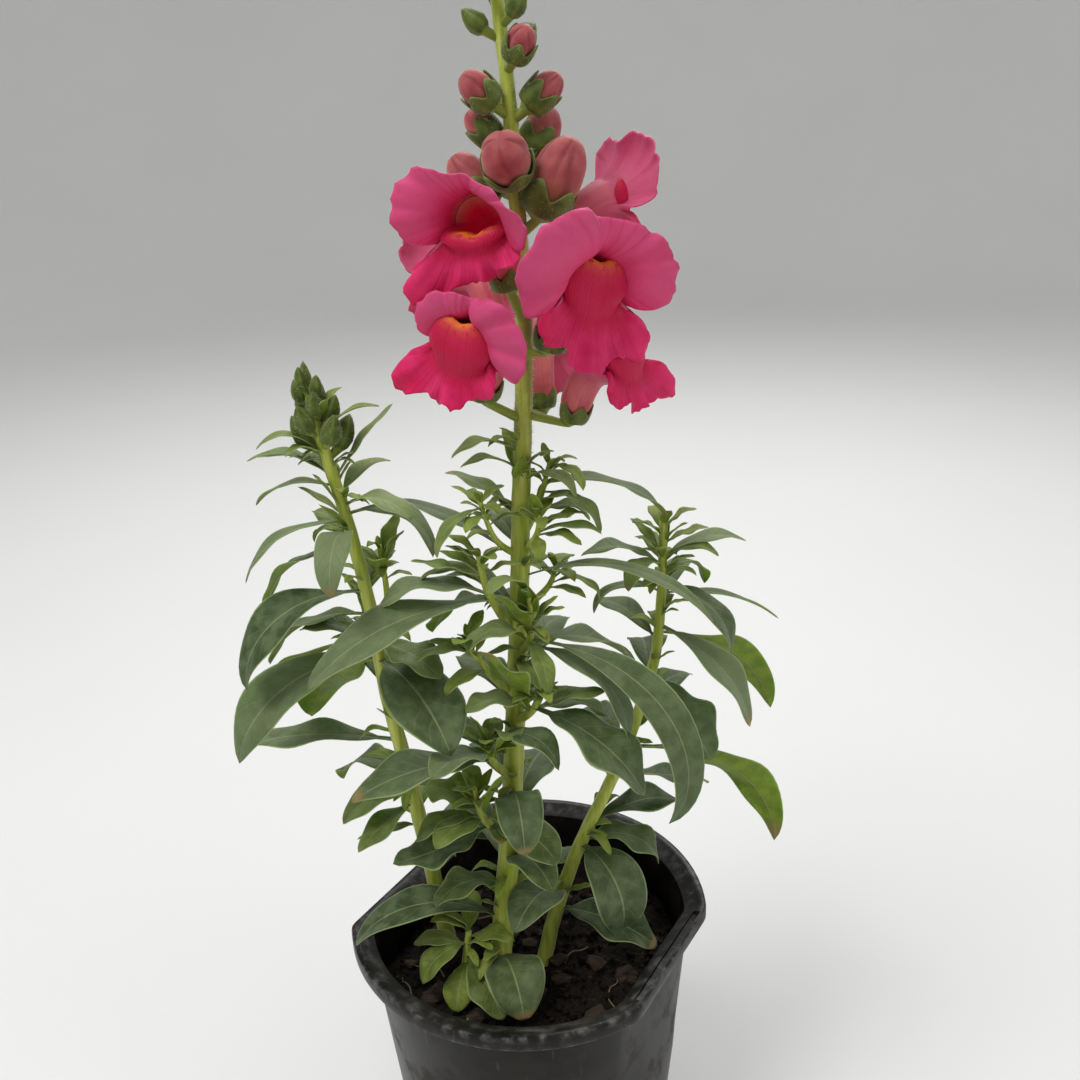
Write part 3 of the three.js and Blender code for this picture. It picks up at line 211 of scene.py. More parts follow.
MAIN_LEAVES = {
    "stem": (
        (263, -156, 22, 5.5, 42, 92), (258, -160, 18, 4.5, 43, 80), (254, -42, 22, 5, 46, 120),
        (251, -80, 11, 4, 75, 10), (250, -115, 9, 3.5, 78, 10), (249, -50, 9, 3.5, 80, 12),
        (226, -23, 63, 5, 24, 82, 0, 10),
        (153, -83, 32, 13, 48, 140), (109, -172, 52, 14, 36, 100),
        (95, -75, 29, 17, 39, 120), (130, -60, 28, 12, 50, 100), (121, -150, 26, 11, 45, 95),
        (170, -95, 22, 9, 60, 60), (196, -70, 20, 7, 50, 110), (137, -98, 20, 9, 62, 70),
    ),
    "leftHigh": (
        (222, -156, 60, 14, 6, 53, 0, -12), (224, -170, 34, 11, 27, 73), (230, -168, 21, 5, 26, 15),
        (229, 174, 21, 5, 31, 92), (223, 140, 31, 12, -15, 55), (234, -60, 10, 4, 50, 60),
        (235, 160, 12, 4, 60, 60),
    ),
    "leftMiddle": (
        (206, -165, 18, 5, 30, 70), (204, 160, 17, 5, 35, 60), (208, -110, 13, 5, 55, 60),
        (209, 60, 12, 4, 60, 50), (199, -140, 17, 6, 25, 80),
    ),
    "frontHigh": (
        (223, -133, 22, 6, 70, 120), (211, -110, 18, 6, 84, 20), (209, 21, 50, 14, -4, 76),
        (209, -29, 87, 10.5, 2, 134, 0, 45), (207, -18, 48, 13, -9, 97), (210, -130, 22, 9, 60, 20),
        (208, -149, 24, 9, 50, 110), (208, -71, 20, 5.5, 4, 100),
    ),
    "frontMiddle": (
        (188, -31, 42, 18, -8, 55), (188, -6, 21, 8, 24, 25), (187, 12, 27, 10, 13, 85),
        (186, -132, 34, 13, 60, 14), (186, -151, 24, 10, 47, 77), (193, -70, 12, 4, 70, 70),
    ),
    "leftLow": (
        (172, -125, 30, 12, 40, 60), (170, -38, 35, 9, 74, 160), (171, -160, 44, 17, 13, 42),
        (175, 160, 14, 5, 50, 60), (176, -90, 11, 4, 60, 60), (174, 80, 14, 6, 40, 60),
    ),
    "footLeft": (
        (153, -42, 20, 7, 66, 10), (154, 154, 20, 13, 37, 56), (153, -168, 22, 9, 15, 74),
        (151, -137, 20, 10, 26, 65), (148, -157, 31, 15, -14, -20), (148, -33, 26, 15, 17, 81),
        (160, 100, 12, 5, 50, 60),
    ),
    "topLeft": (
        (236, 160, 36, 7.5, 30, 26), (250, -147, 21, 5, -2, 88), (249, 120, 12, 4, 40, 70),
        (250, -60, 10, 4, 35, 80), (251, 30, 9, 3.5, 50, 60), (247, -120, 11, 4, 20, 70),
    ),
    "topRight": (
        (260, -30, 14, 5, 10, 105), (255, 11, 42, 11, 2, 62), (252, -28, 23, 6, 6, 93),
        (244, -33, 15, 7, 59, 62), (243, -7, 20, 6, 45, 118),
    ),
    "topFront": (
        (242, -13, 19, 5, 25, 63), (241, -35, 15, 5, 20, 55), (243, 9, 15, 5, 36, 60),
        (241, -88, 11, 4, 0, 50), (244, -110, 12, 4, 75, 20),
    ),
    "rightHigh": (
        (221, -12, 19, 4, 30, 126), (220, -33, 13, 4, 16, 51), (223, 62, 15, 5, 40, 90),
        (224, -60, 12, 4, 40, 90),
    ),
}
LEFT_LEAVES = {
    "stem": (
        (272, -13, 20, 5, 49, 59), (259, 14, 26, 5.5, 52, 12), (266, -170, 21, 5, 54, 110),
        (260, 175, 25, 6.5, 40, 74), (257, 161, 28, 6, 8, 62), (246, -168, 36, 6.5, 4, 80),
        (240, -98, 34, 9, 40, 150), (237, 157, 43, 9.5, -8, 68), (223, -159, 51, 13, 8, 105, 0, -22),
        (215, 158, 46, 10, -5, 65), (251, -33, 25, 9, 27, 74), (248, -14, 33, 10, 21, 120),
        (168, 166, 58, 14, 3, 30), (202, -161, 57, 15, 0, 82, 0, -32), (206, 171, 43, 9, -8, 50, 0, 30),
        (199, 141, 48, 18, -20, 55, 0, 30), (205, -39, 25, 13, 5, 42), (199, -56, 43, 21, 3, 62),
        (200, 51, 27, 13, -20, 60),
        (148, -157, 24, 12, 18, 76), (144, -136, 23, 9, -4, 30), (135, 169, 22, 6, -12, 20),
    ),
    "sideRight": (
        (228, -30, 16, 5, 70, 30), (230, 60, 16, 5, 65, 35), (224, 150, 15, 5, 60, 40),
        (226, -100, 14, 5, 60, 50),
    ),
}
RIGHT_LEAVES = {
    "stem": (
        (233, -12, 12, 5, 60, 60), (229, -12, 14, 5.5, 34, 30), (225, 5, 27, 8, 30, 62),
        (223, -21, 19, 6.5, 50, 99), (220, 31, 22, 7, 18, 115), (222, -175, 27, 8, 40, 74),
        (221, -136, 21, 7, 46, 140), (216, -26, 34, 11.5, -8, 95), (202, -27, 44, 15, -20, 64),
        (186, -59, 33, 17, -24, 20), (213, 30, 56, 6.5, -12, 32), (200, 25, 64, 11, -18, 60, 0, -45),
        (161, 9, 76, 13, -8, 84, 0, -55), (152, 36, 49, 11, -24, 8), (213, -172, 26, 6, 34, 120),
        (128, -10, 30, 12.5, 30, 118), (127, -60, 38, 18, 15, 150), (106, -24, 34, 16, 4, 40),
        (110, -120, 34, 15, 50, 90), (232, 100, 13, 5, 50, 70), (231, -160, 12, 5, 55, 60),
        (234, -80, 8, 3.5, 70, 40),
    ),
}
FRONT_SHOOT_LEAVES = {
    "stem": (
        (104, -150, 20, 9, 10, 90), (100, -60, 24, 12, -10, 30), (103, 170, 18, 7, 20, 60),
        (98, -105, 16, 9, -20, 40), (106, -20, 16, 7, 30, 60), (107, 80, 14, 6, 50, 50),
    ),
}
MAIN_FAR = {
    "start": 112, "end": 258, "count": 15, "middle": 106, "arc": 100,
    "length": (44, 22), "width": (16, 6), "seed": 11,
}
LEFT_FAR = {
    "start": 112, "end": 262, "count": 9, "middle": 108, "arc": 130,
    "length": (40, 20), "width": (14, 6), "seed": 12,
}
RIGHT_FAR = {
    "start": 128, "end": 228, "count": 8, "middle": 86, "arc": 110,
    "length": (42, 22), "width": (14, 6), "seed": 13,
}

LEAFY_STEMS = (  # node, stems, leaves, leaves on the far side, seed
    ("main_stem", MAIN_STEM, MAIN_LEAVES, MAIN_FAR, 31),
    ("left_stem", LEFT_STEM, LEFT_LEAVES, LEFT_FAR, 32),
    ("right_stem", RIGHT_STEM, RIGHT_LEAVES, RIGHT_FAR, 33),
    ("front_shoot", FRONT_SHOOT, FRONT_SHOOT_LEAVES, None, 34),
)

# ---- Young leaves and hairs, in the scene alone ---------------------------------------------

AXIL_LEAVES = {"above": 20, "length": (7, 15)}  # they stand by leaves longer than this
TIP_TUFT = {"count": 8, "length": (7, 13)}
HAIR_RADIUS = 0.045
MAIN_HAIRS = {"count": 2600, "length": 0.9, "seed": 41}
LEFT_HAIRS = {"count": 900, "length": 0.8, "seed": 42}
HAIRY_ABOVE = 258  # the main stem is bare below this height

# ---- Flowers and buds, as in the CAD model --------------------------------------------------

# Flowers: where the pedicel leaves the stem, the middle of the mouth, where the face looks
# (face, tilt, roll), how far the tube bends down to it and how much the palate is dropped
# (gape). Reach, curl, hang and turn (round the mouth) are given for each of the five lobes.

USUAL_FLOWER = {"roll": 0, "gape": 0, "turn": (0, 0, 0, 0, 0)}
FLOWERS = [USUAL_FLOWER | own for own in (
    {"name": "front_left_low", "height": 273, "mouth": (-8.5, -20, 299.5),
     "face": -118, "tilt": -4, "roll": -14, "size": 0.98, "bend": 84,
     "reach": (1.05, 0.62, 1.15, 0.65, 0.55), "curl": (4, -6, 10, 0, 6), "hang": (3, 1, 0, 0, 0),
     "turn": (-10, -6, 0, 0, 0)},
    {"name": "right_low", "height": 275, "mouth": (29, -9, 290.5),
     "face": -38, "tilt": 12, "size": 0.88, "bend": 60,
     "reach": (0.6, 0.45, 0.75, 0.6, 1.3), "curl": (20, 20, 6, 0, 0), "hang": (3, 3, 0, 0, 0),
     "turn": (0, 0, 0, 0, 10)},
    {"name": "back_low", "height": 275, "mouth": (11, 29, 290),
     "face": 82, "tilt": 5, "roll": -5, "size": 0.9, "bend": 72,
     "reach": (1, 1, 1, 1.1, 1), "curl": (6, 0, 6, 10, 0), "hang": (4, 4, 0, 0, 0)},
    {"name": "front_right_middle", "height": 293, "mouth": (21.5, -15, 312),
     "face": -66, "tilt": -2, "roll": -10, "size": 1, "bend": 78,
     "reach": (1.0, 1.5, 0.9, 1.0, 1.15), "curl": (-6, -6, 0, 0, 16), "hang": (2, 4, 0, 0, 0),
     "turn": (-14, 18, 0, 0, 0)},
    {"name": "front_left_middle", "height": 301, "mouth": (-4.5, -19, 329.5),
     "face": -108, "tilt": 0, "roll": 8, "size": 0.96, "bend": 80, "gape": 10,
     "reach": (1.05, 1.0, 1.3, 0.5, 0.75), "curl": (-46, -6, 10, 30, -40), "hang": (7, 3, 2, 0, 0),
     "turn": (-14, 6, -6, 0, 0)},
    {"name": "back_left_middle", "height": 294, "mouth": (-10, 22, 313),
     "face": 130, "tilt": 5, "roll": 5, "size": 0.88, "bend": 72,
     "reach": (1, 1, 1, 1.1, 1), "curl": (0, 6, 0, 8, 4), "hang": (4, 4, 0, 0, 0)},
    {"name": "back_right_high", "height": 306, "mouth": (28, 14, 330),
     "face": 25, "tilt": 8, "size": 0.88, "bend": 72,
     "reach": (1.1, 1.1, 1, 1, 1), "curl": (0, 0, 6, 4, 0), "hang": (3, 1, 0, 0, 0)},
)]
PINK_BUDS = (  # name, height, azimuth, pedicel, lift, face, tilt, length, girth, calyx's cover
    ("front", 336, -105, 4, 40, -105, 40, 14, 6.6, 0.44),
    ("right_large", 324, -14, 6, 45, -12, 62, 21.5, 7, 0.42),
    ("right_upper", 339, 44, 6, 38, 44, 55, 15, 5.2, 0.5),
    ("left_back", 326, 168, 8, 40, 165, 52, 16, 5.6, 0.46),
    ("back", 331, 92, 8, 30, 92, 40, 14, 5, 0.46),
    ("left_upper", 345, 160, 4.5, 35, 160, 45, 10, 3.8, 0.62),
    ("right_top", 353, -15, 4.5, 35, -15, 40, 11, 4, 0.66),
    ("left_top", 354, -155, 4.5, 35, -155, 40, 10.5, 4.2, 0.6),
    ("front_top", 365, -60, 4, 35, -60, 45, 9, 3.7, 0.7),
)
TOP_BUDS = {
    "start": 369, "end": 408, "count": 13, "reach": 5, "length": 8.5, "girth": 3.1,
    "shrink": 0.62, "lean": (38, 38), "seed": 21,
}
LEFT_BUDS = {
    "start": 265, "end": 286, "count": 13, "reach": 4.3, "length": 11, "girth": 3.4,
    "shrink": 0.5, "lean": (60, 22), "seed": 22,
}
FLOWER_SEED = 100
BUD_SEED = 200
FLOWER_CALYX_DEPTH = 5.5
POUCH_LEAN = 0.9  # how far a tube's pouch hangs and bends over its calyx
BUD_SIDES = 56
BUD_PROFILE = (  # share of the length, share of the girth
    (0, 0.45), (0.06, 0.64), (0.15, 0.82), (0.42, 1), (0.7, 0.9), (0.86, 0.66), (0.95, 0.4),
)
GREEN_BUD_PROFILE = ((0.12, 0.78), (0.34, 1), (0.55, 0.92), (0.75, 0.66), (0.9, 0.34))
GREEN_BUD_SIDES = 30


# ---- Small helpers --------------------------------------------------------------------------

def make_random(seed):
    """A seeded draw between 0 and 1 (mulberry32), the same one as in the CAD model."""
    word = 0xFFFFFFFF
    state = seed

    def draw():
        nonlocal state
        state = (state + 0x6D2B79F5) & word
        mixed = ((state ^ (state >> 15)) * (1 | state)) & word
        mixed = ((mixed + ((mixed ^ (mixed >> 7)) * (61 | mixed))) & word) ^ mixed
        return (mixed ^ (mixed >> 14)) / 4294967296

    return draw


def between(draw, low, high):
    return low + (high - low) * draw()


def direction(azimuth, elevation):
    """Unit vectors at compass azimuths and elevations, in degrees; numbers or arrays."""
    azimuth, elevation = np.broadcast_arrays(np.radians(azimuth), np.radians(elevation))
    level = np.cos(elevation)
    return np.stack([level * np.cos(azimuth), level * np.sin(azimuth), np.sin(elevation)], axis=-1)


def once_round(sides, start=0):
    """Equally spaced angles in degrees, one for each side."""
    return start + 360 * np.arange(sides) / sides


def unit(vectors):
    length = np.linalg.norm(vectors, axis=-1, keepdims=True)
    return vectors / np.maximum(length, 1e-9)


def with_ends(values):
    """The rows with one more before and after them, in line with the first and last two."""
    values = np.asarray(values, float)
    return np.concatenate([[2 * values[0] - values[1]], values, [2 * values[-1] - values[-2]]])


def curve_through(values, fine):
    """A smooth curve through rows of values, with this many steps between two rows."""
    padded = with_ends(values)
    result = []
    for i in range(len(values) - 1):
        result += [curve_point(*padded[i:i + 4], k / fine) for k in range(fine)]
    return np.array(result + [padded[-2]])


def curve_point(a, b, c, d, share):
    """Between b and c on a smooth curve that also heeds the points before and after."""
    rise, fall = 0.5 * (c - a), 0.5 * (d - b)
    return (
        b + rise * share + (3 * (c - b) - 2 * rise - fall) * share ** 2
        + (2 * (b - c) + rise + fall) * share ** 3
    )


def bell(value, middle, width):
    """1 at the middle and falling to nothing on both sides."""
    return np.exp(-(((np.asarray(value) - middle) / width) ** 2))


class Shape:
    """Points and faces of one piece, with numbers on each point that the materials read."""

    def __init__(self, *marks):
        self.points = []
        self.faces = []
        self.marks = {name: [] for name in marks}
        self.count = 0

    def add(self, points, faces, **marks):
        points = np.asarray(points, float).reshape(-1, 3)
        self.points.append(points)
        self.faces.extend([tuple(int(k) + self.count for k in face) for face in faces])
        for name, held in self.marks.items():
            held.append(np.broadcast_to(np.ravel(marks.get(name, 0.0)), (len(points),)))
        self.count += len(points)

    def add_loft(self, rings, first_tip=None, last_tip=None, **marks):
        """Joins rings of equally many points into a closed skin, with a tip at either end."""
        rings = np.asarray(rings, float)
        rows, columns = rings.shape[:2]
        tips = [ring.mean(axis=0) if tip is None else tip
                for ring, tip in ((rings[0], first_tip), (rings[-1], last_tip))]
        points = np.concatenate([rings.reshape(-1, 3), tips])
        faces = []
        for i in range(rows - 1):
            for k in range(columns):
                here = i * columns + k
                beside = i * columns + (k + 1) % columns
                faces.append((here, beside, beside + columns, here + columns))
        first, last = rows * columns, rows * columns + 1
        for k in range(columns):
            beside = (k + 1) % columns
            faces.append((beside, k, first))
            faces.append(((rows - 1) * columns + k, (rows - 1) * columns + beside, last))
        if enclosed(points, faces) < 0:
            faces = [face[::-1] for face in faces]
        full = {}
        for name, value in marks.items():
            value = np.broadcast_to(value, (rows, columns))
            full[name] = np.concatenate([value.ravel(), [value[0].mean(), value[-1].mean()]])
        self.add(points, faces, **full)


def enclosed(points, faces):
    """Six times the volume inside the faces, below zero if they are inside out."""
    corners = [[face[0], face[i], face[i + 1]] for face in faces for i in range(1, len(face) - 1)]
    a, b, c = np.moveaxis(points[np.array(corners)], 1, 0)
    return float(np.einsum("ij,ij->", a, np.cross(b, c)))


def linked(name, data):
    made = bpy.data.objects.new(name, data)
    bpy.context.scene.collection.objects.link(made)
    return made


def mesh_object(name, shape):
    mesh = bpy.data.meshes.new(name)
    mesh.from_pydata((np.concatenate(shape.points) * MM).tolist(), [], shape.faces)
    return linked(name, mesh)


def smooth_object(name, shape, material):
    made = mesh_object(name, shape)
    made.data.polygons.foreach_set("use_smooth", [True] * len(made.data.polygons))
    made.data.materials.append(material)
    return made


def make_piece(name, shape, material, node):
    """A piece that rides on the plant's one body and stands in for a CAD node."""
    piece = smooth_object(name, shape, material)
    for mark, held in shape.marks.items():
        layer = piece.data.attributes.new(mark, "FLOAT", "POINT")
        layer.data.foreach_set("value", np.concatenate(held).astype(np.float32))
    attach(piece, "root")
    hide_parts(node)
    return piece


def cut_away(piece, space):
    """Takes a space out of a piece, and applies the cut to the piece's mesh."""
    cutter = mesh_object("cutter", space)
    change = piece.modifiers.new("cut", "BOOLEAN")
    change.operation = "DIFFERENCE"
    change.solver = "EXACT"
    change.object = cutter
    graph = bpy.context.evaluated_depsgraph_get()
    result = bpy.data.meshes.new_from_object(piece.evaluated_get(graph))
    piece.modifiers.clear()
    old = piece.data
    piece.data = result
    bpy.data.meshes.remove(old)
    spent = cutter.data
    bpy.data.objects.remove(cutter)
    bpy.data.meshes.remove(spent)


# ---- Node helpers for the materials ---------------------------------------------------------

class Paint:
    """A material's node tree, with short names for the nodes that it is built from."""

    def __init__(self, name, **settings):
        self.material = bpy.data.materials.new(name)
        self.material.use_nodes = True
        self.tree = self.material.node_tree
        self.shader = self.tree.nodes["Principled BSDF"]
        self.feed(self.shader, **settings)
        self.place = self.add("NewGeometry").outputs["Position"]

    def plug(self, value, socket):
        """A value is written on the socket itself; another node's output is linked to it."""
        if isinstance(value, bpy.types.NodeSocket):
            self.tree.links.new(value, socket)
        else:
            socket.default_value = value

    def feed(self, node, **inputs):
        for name, value in inputs.items():
            self.plug(value, node.inputs[name.replace("_", " ")])
        return node

    def add(self, kind, **inputs):
        return self.feed(self.tree.nodes.new("ShaderNode" + kind), **inputs)

    def mark(self, name):
        node = self.add("Attribute")
        node.attribute_name = name
        return node.outputs["Fac"]

    def noise(self, scale, detail=3.0, roughness=0.55, stretch=None):
        """Noise over the piece; the scale is in bumps per metre."""
        place = self.place
        if stretch:
            place = self.add("Mapping", Scale=stretch, Vector=place).outputs["Vector"]
        node = self.add("TexNoise", Scale=scale, Detail=detail, Roughness=roughness, Vector=place)
        return node.outputs["Fac"]

    def cells(self, scale):
        """Distance to the nearest of many scattered points; the scale is in cells per metre."""
        return self.add("TexVoronoi", Scale=scale, Vector=self.place).outputs["Distance"]

    def math(self, kind, first, second):
        node = self.add("Math")
        node.operation = kind
        self.plug(first, node.inputs[0])
        self.plug(second, node.inputs[1])
        return node.outputs[0]

    def times(self, first, second):
        return self.math("MULTIPLY", first, second)

    def span(self, value, low, high, start=0.0, end=1.0):
        """Maps a range of values to another range, and stops at its ends."""
        node = self.add("MapRange", Value=value, From_Min=low, From_Max=high, To_Min=start, To_Max=end)
        node.interpolation_type = "SMOOTHSTEP"
        return node.outputs["Result"]

    def mix(self, share, first, second):
        node = self.add("Mix")
        node.data_type = "RGBA"
        self.feed(node, Factor=share)
        sockets = [socket for socket in node.inputs if socket.type == "RGBA"]
        self.plug(first, sockets[0])
        self.plug(second, sockets[1])
        return next(socket for socket in node.outputs if socket.type == "RGBA")

    def fade(self, value, low, high, first, second):
        """The first colour where the value is low, and the second where it is high."""
        return self.mix(self.span(value, low, high), first, second)

    def layer(self, colour, share, strength, tint):
        """A tint laid over the colour where the share is high, and this strong at the most."""
        return self.mix(self.times(share, strength), colour, tint)

    def finish(self, colour, roughness, height=None, depth=0.1, strength=0.5):
        """Colour and roughness go to the shader; the bump's depth is in millimetres."""
        self.feed(self.shader, Base_Color=colour, Roughness=roughness)
        if height is not None:
            bump = self.add("Bump", Strength=strength, Distance=depth * MM, Height=height)
            self.feed(self.shader, Normal=bump.outputs["Normal"])
        return self.material


def shade(red, green, blue):
    """A colour as seen on a screen (0 to 255), turned into the linear value that shaders use."""
    def linear(level):
        level /= 255
        return level / 12.92 if level <= 0.04045 else ((level + 0.055) / 1.055) ** 2.4
    return (linear(red), linear(green), linear(blue), 1.0)


# ---- Materials ------------------------------------------------------------------------------

def petal_material():
    """Marks: out (0 mouth to 1 edge), around (lobe), tube, palate, throat, upper, back."""
    paint = Paint("petal", Specular_IOR_Level=0.2, Sheen_Weight=0.1, Sheen_Roughness=0.4,
                  Sheen_Tint=shade(255, 190, 215), Subsurface_Weight=0.22, Subsurface_Scale=0.0016,
                  Subsurface_Radius=(1.0, 0.25, 0.35))
    blotch = paint.noise(90, 4)
    colour = paint.fade(blotch, 0.3, 0.7, shade(204, 20, 80), shade(226, 50, 112))
    deep = paint.span(paint.mark("out"), 0.0, 0.45, 1.0, 0.0)
    colour = paint.layer(colour, deep, 0.7, shade(190, 12, 58))
    pale = paint.times(paint.mark("upper"), paint.span(paint.mark("out"), 0.1, 0.8))
    colour = paint.layer(colour, pale, 0.75, shade(208, 86, 134))
    near_mouth = paint.span(paint.mark("out"), 0.02, 0.2, 0.25, 0.0)
    hood_foot = paint.times(paint.mark("upper"), near_mouth)
    colour = paint.mix(hood_foot, colour, shade(236, 172, 118))
    veins = vein_lines(paint)
    colour = paint.layer(colour, veins, 0.2, shade(176, 10, 60))
    colour = paint.layer(colour, paint.mark("back"), 0.6, shade(212, 112, 150))
    colour = paint.mix(paint.mark("tube"), colour, tube_colour(paint, veins))
    colour = paint.mix(paint.mark("throat"), colour, shade(238, 14, 66))
    spots = paint.times(paint.mark("palate"), paint.span(paint.noise(620, 3), 0.3, 0.5))
    colour = paint.mix(spots, colour, shade(240, 138, 24))
    height = paint.math("ADD", paint.times(veins, -0.6), paint.noise(900, 3))
    return paint.finish(colour, paint.span(blotch, 0.2, 0.8, 0.42, 0.6), height, 0.25, 0.5)


def vein_lines(paint):
    """Fine veins that fan out from the mouth: narrow lines across the petal's around mark."""
    wander = paint.times(paint.noise(160, 2), 0.5)
    phase = paint.math("ADD", paint.times(paint.mark("around"), 7.0), wander)
    wave = paint.math("PINGPONG", phase, 0.5)
    return paint.span(wave, 0.0, 0.22, 1.0, 0.0)


def tube_colour(paint, veins):
    ground = paint.fade(paint.noise(140, 3), 0.35, 0.65, shade(198, 90, 88), shade(214, 124, 112))
    return paint.layer(ground, veins, 0.6, shade(176, 58, 70))


def bud_material():
    """Marks: along (0 foot to 1 tip), seam (1 in the grooves between rolled petals, darkened there as painted
    shade).
    """
    paint = Paint("bud", Specular_IOR_Level=0.3, Sheen_Weight=0.5, Sheen_Roughness=0.5,
                  Sheen_Tint=shade(255, 205, 200), Subsurface_Weight=0.15, Subsurface_Scale=0.001)
    blotch = paint.noise(260, 4)
    colour = paint.fade(blotch, 0.3, 0.7, shade(158, 66, 74), shade(178, 90, 88))
    foot = paint.span(paint.mark("along"), 0.15, 0.65, 1.0, 0.0)
    colour = paint.layer(colour, foot, 0.6, shade(134, 116, 56))
    # Painted shade: the grooves between the rolled petals and the slit between the lips are darkened.
    colour = paint.layer(colour, paint.mark("seam"), 0.7, shade(112, 28, 42))
    return paint.finish(colour, 0.62, paint.noise(2600, 2), 0.12, 0.6)


def leaf_material():
    """Marks: across (0 midrib to 1 margin), along, under (1 below); tone, dry, young per leaf. The tone is
    random, and darker on the lower leaves as painted shade.
    """
    paint = Paint("leaf", Specular_IOR_Level=0.35, Sheen_Weight=0.16, Sheen_Roughness=0.45,
                  Sheen_Tint=shade(225, 240, 220), Subsurface_Weight=0.2, Subsurface_Scale=0.0012,
                  Subsurface_Radius=(0.5, 1.0, 0.1))
    across, along, tone = paint.mark("across"), paint.mark("along"), paint.mark("tone")
    mottle = paint.noise(220, 5)
    # Painted shade: the tone runs from dark to light green, and the lower leaves are held to the darker end.
    top = paint.mix(tone, shade(43, 61, 16), shade(116, 130, 88))
    top = paint.mix(paint.span(mottle, 0.35, 0.7, 0.0, 0.4), top, shade(126, 140, 102))
    young = paint.fade(mottle, 0.3, 0.7, shade(110, 130, 22), shade(146, 158, 52))
    top = paint.layer(top, paint.mark("young"), 0.8, young)
    # The underside's own paler green, made vivid yellow-green by a painted backlight glow.
    below = paint.fade(mottle, 0.3, 0.7, shade(104, 126, 18), shade(136, 154, 40))
    colour = paint.mix(paint.mark("under"), top, below)
    midrib = paint.span(across, 0.01, 0.05, 0.55, 0.0)
    colour = paint.mix(midrib, colour, shade(150, 166, 112))
    sides = side_veins(paint, across, along)
    colour = paint.layer(colour, sides, 0.12, shade(136, 152, 100))
    margin = paint.span(across, 0.92, 0.99, 0.0, 0.6)
    colour = paint.mix(margin, colour, shade(176, 186, 132))
    dryness = paint.times(paint.mark("dry"), paint.span(along, 0.8, 1.0))
    ragged = paint.span(paint.math("ADD", dryness, paint.times(mottle, 0.6)), 0.6, 1.1)
    dry = paint.times(ragged, paint.span(paint.mark("dry"), 0.1, 0.3))
    colour = paint.layer(colour, dry, 0.8, shade(146, 122, 76))
    height = paint.math("ADD", paint.times(sides, -0.8), paint.noise(1500, 3))
    return paint.finish(colour, paint.span(mottle, 0.2, 0.8, 0.5, 0.7), height, 0.3, 0.55)


def side_veins(paint, across, along):
    """Veins that leave the midrib at a slant, seven or so to each side."""
    slant = paint.math("SUBTRACT", paint.times(along, 8.0), paint.times(across, 1.6))
    wander = paint.times(paint.noise(150, 2), 0.5)
    wave = paint.math("PINGPONG", paint.math("ADD", slant, wander), 0.5)
    lines = paint.span(wave, 0.0, 0.09, 1.0, 0.0)
    return paint.times(lines, paint.span(across, 0.7, 0.98, 1.0, 0.0))


def stem_material():
    """Marks: blush (1 where the stem is reddest)."""
    paint = Paint("stem", Specular_IOR_Level=0.4, Sheen_Weight=0.3, Sheen_Roughness=0.5,
                  Subsurface_Weight=0.1, Subsurface_Scale=0.001)
    streaks = paint.noise(500, 3, stretch=(1, 1, 0.08))
    colour = paint.fade(streaks, 0.3, 0.7, shade(158, 174, 40), shade(202, 208, 98))
    brown = paint.times(paint.mark("blush"), paint.span(paint.noise(200, 4), 0.3, 0.6))
    colour = paint.layer(colour, brown, 0.6, shade(122, 92, 58))
    return paint.finish(colour, 0.55, paint.noise(900, 3, stretch=(1, 1, 0.15)), 0.2, 0.5)


def calyx_material():
    """Marks: along (0 foot to 1 tip), ridge (1 on a sepal's midline)."""
    paint = Paint("calyx", Specular_IOR_Level=0.35, Sheen_Weight=0.25, Sheen_Roughness=0.45,
                  Sheen_Tint=shade(230, 240, 200), Subsurface_Weight=0.1, Subsurface_Scale=0.001)
    blotch = paint.noise(400, 4)
    colour = paint.fade(blotch, 0.3, 0.7, shade(62, 78, 18), shade(94, 110, 38))
    midline = paint.span(paint.mark("ridge"), 0.4, 1.0, 0.0, 0.4)
    colour = paint.mix(midline, colour, shade(124, 138, 62))
    point = paint.span(paint.mark("along"), 0.9, 1.0, 0.0, 0.3)
    colour = paint.mix(point, colour, shade(150, 156, 90))
    stalk = paint.span(paint.mark("along"), 0.0, 0.1, 0.75, 0.0)
    colour = paint.mix(stalk, colour, shade(148, 162, 62))
    return paint.finish(colour, 0.6, paint.noise(1800, 3), 0.2, 0.6)


def hair_material():
    paint = Paint("hair", Specular_IOR_Level=0.5)
    colour = paint.mix(paint.noise(300, 2), shade(206, 214, 180), shade(232, 234, 214))
    return paint.finish(colour, 0.4)


def pot_material():
    """Marks: worn (1 on the rounded edges: scuffs, with a painted highlight along them)."""
    paint = Paint("pot_plastic", Specular_IOR_Level=0.2)
    dust = paint.span(paint.noise(55, 6, 0.65), 0.42, 0.72)
    film = paint.span(paint.noise(18, 5, 0.6, stretch=(1, 1, 2.5)), 0.35, 0.75)
    colour = paint.mix(film, shade(13, 11, 10), shade(31, 28, 26))
    colour = paint.layer(colour, dust, 0.33, shade(80, 74, 67))
    scratches = paint.span(paint.noise(260, 4, 0.7, stretch=(1, 1, 0.12)), 0.62, 0.72)
    colour = paint.layer(colour, scratches, 0.3, shade(110, 108, 106))
    # Pale grey on the pot's rounded edges: partly scuffs, partly a painted highlight along the rim and foot.
    rubbing = paint.span(paint.noise(240, 6, 0.6), 0.44, 0.7)
    edge_scuffs_and_highlight = paint.times(paint.mark("worn"), rubbing)
    colour = paint.layer(colour, edge_scuffs_and_highlight, 0.7, shade(122, 122, 122))
    height = paint.math("ADD", paint.noise(1400, 3), paint.times(scratches, -0.7))
    return paint.finish(colour, paint.span(dust, 0.0, 1.0, 0.34, 0.66), height, 0.12, 0.4)


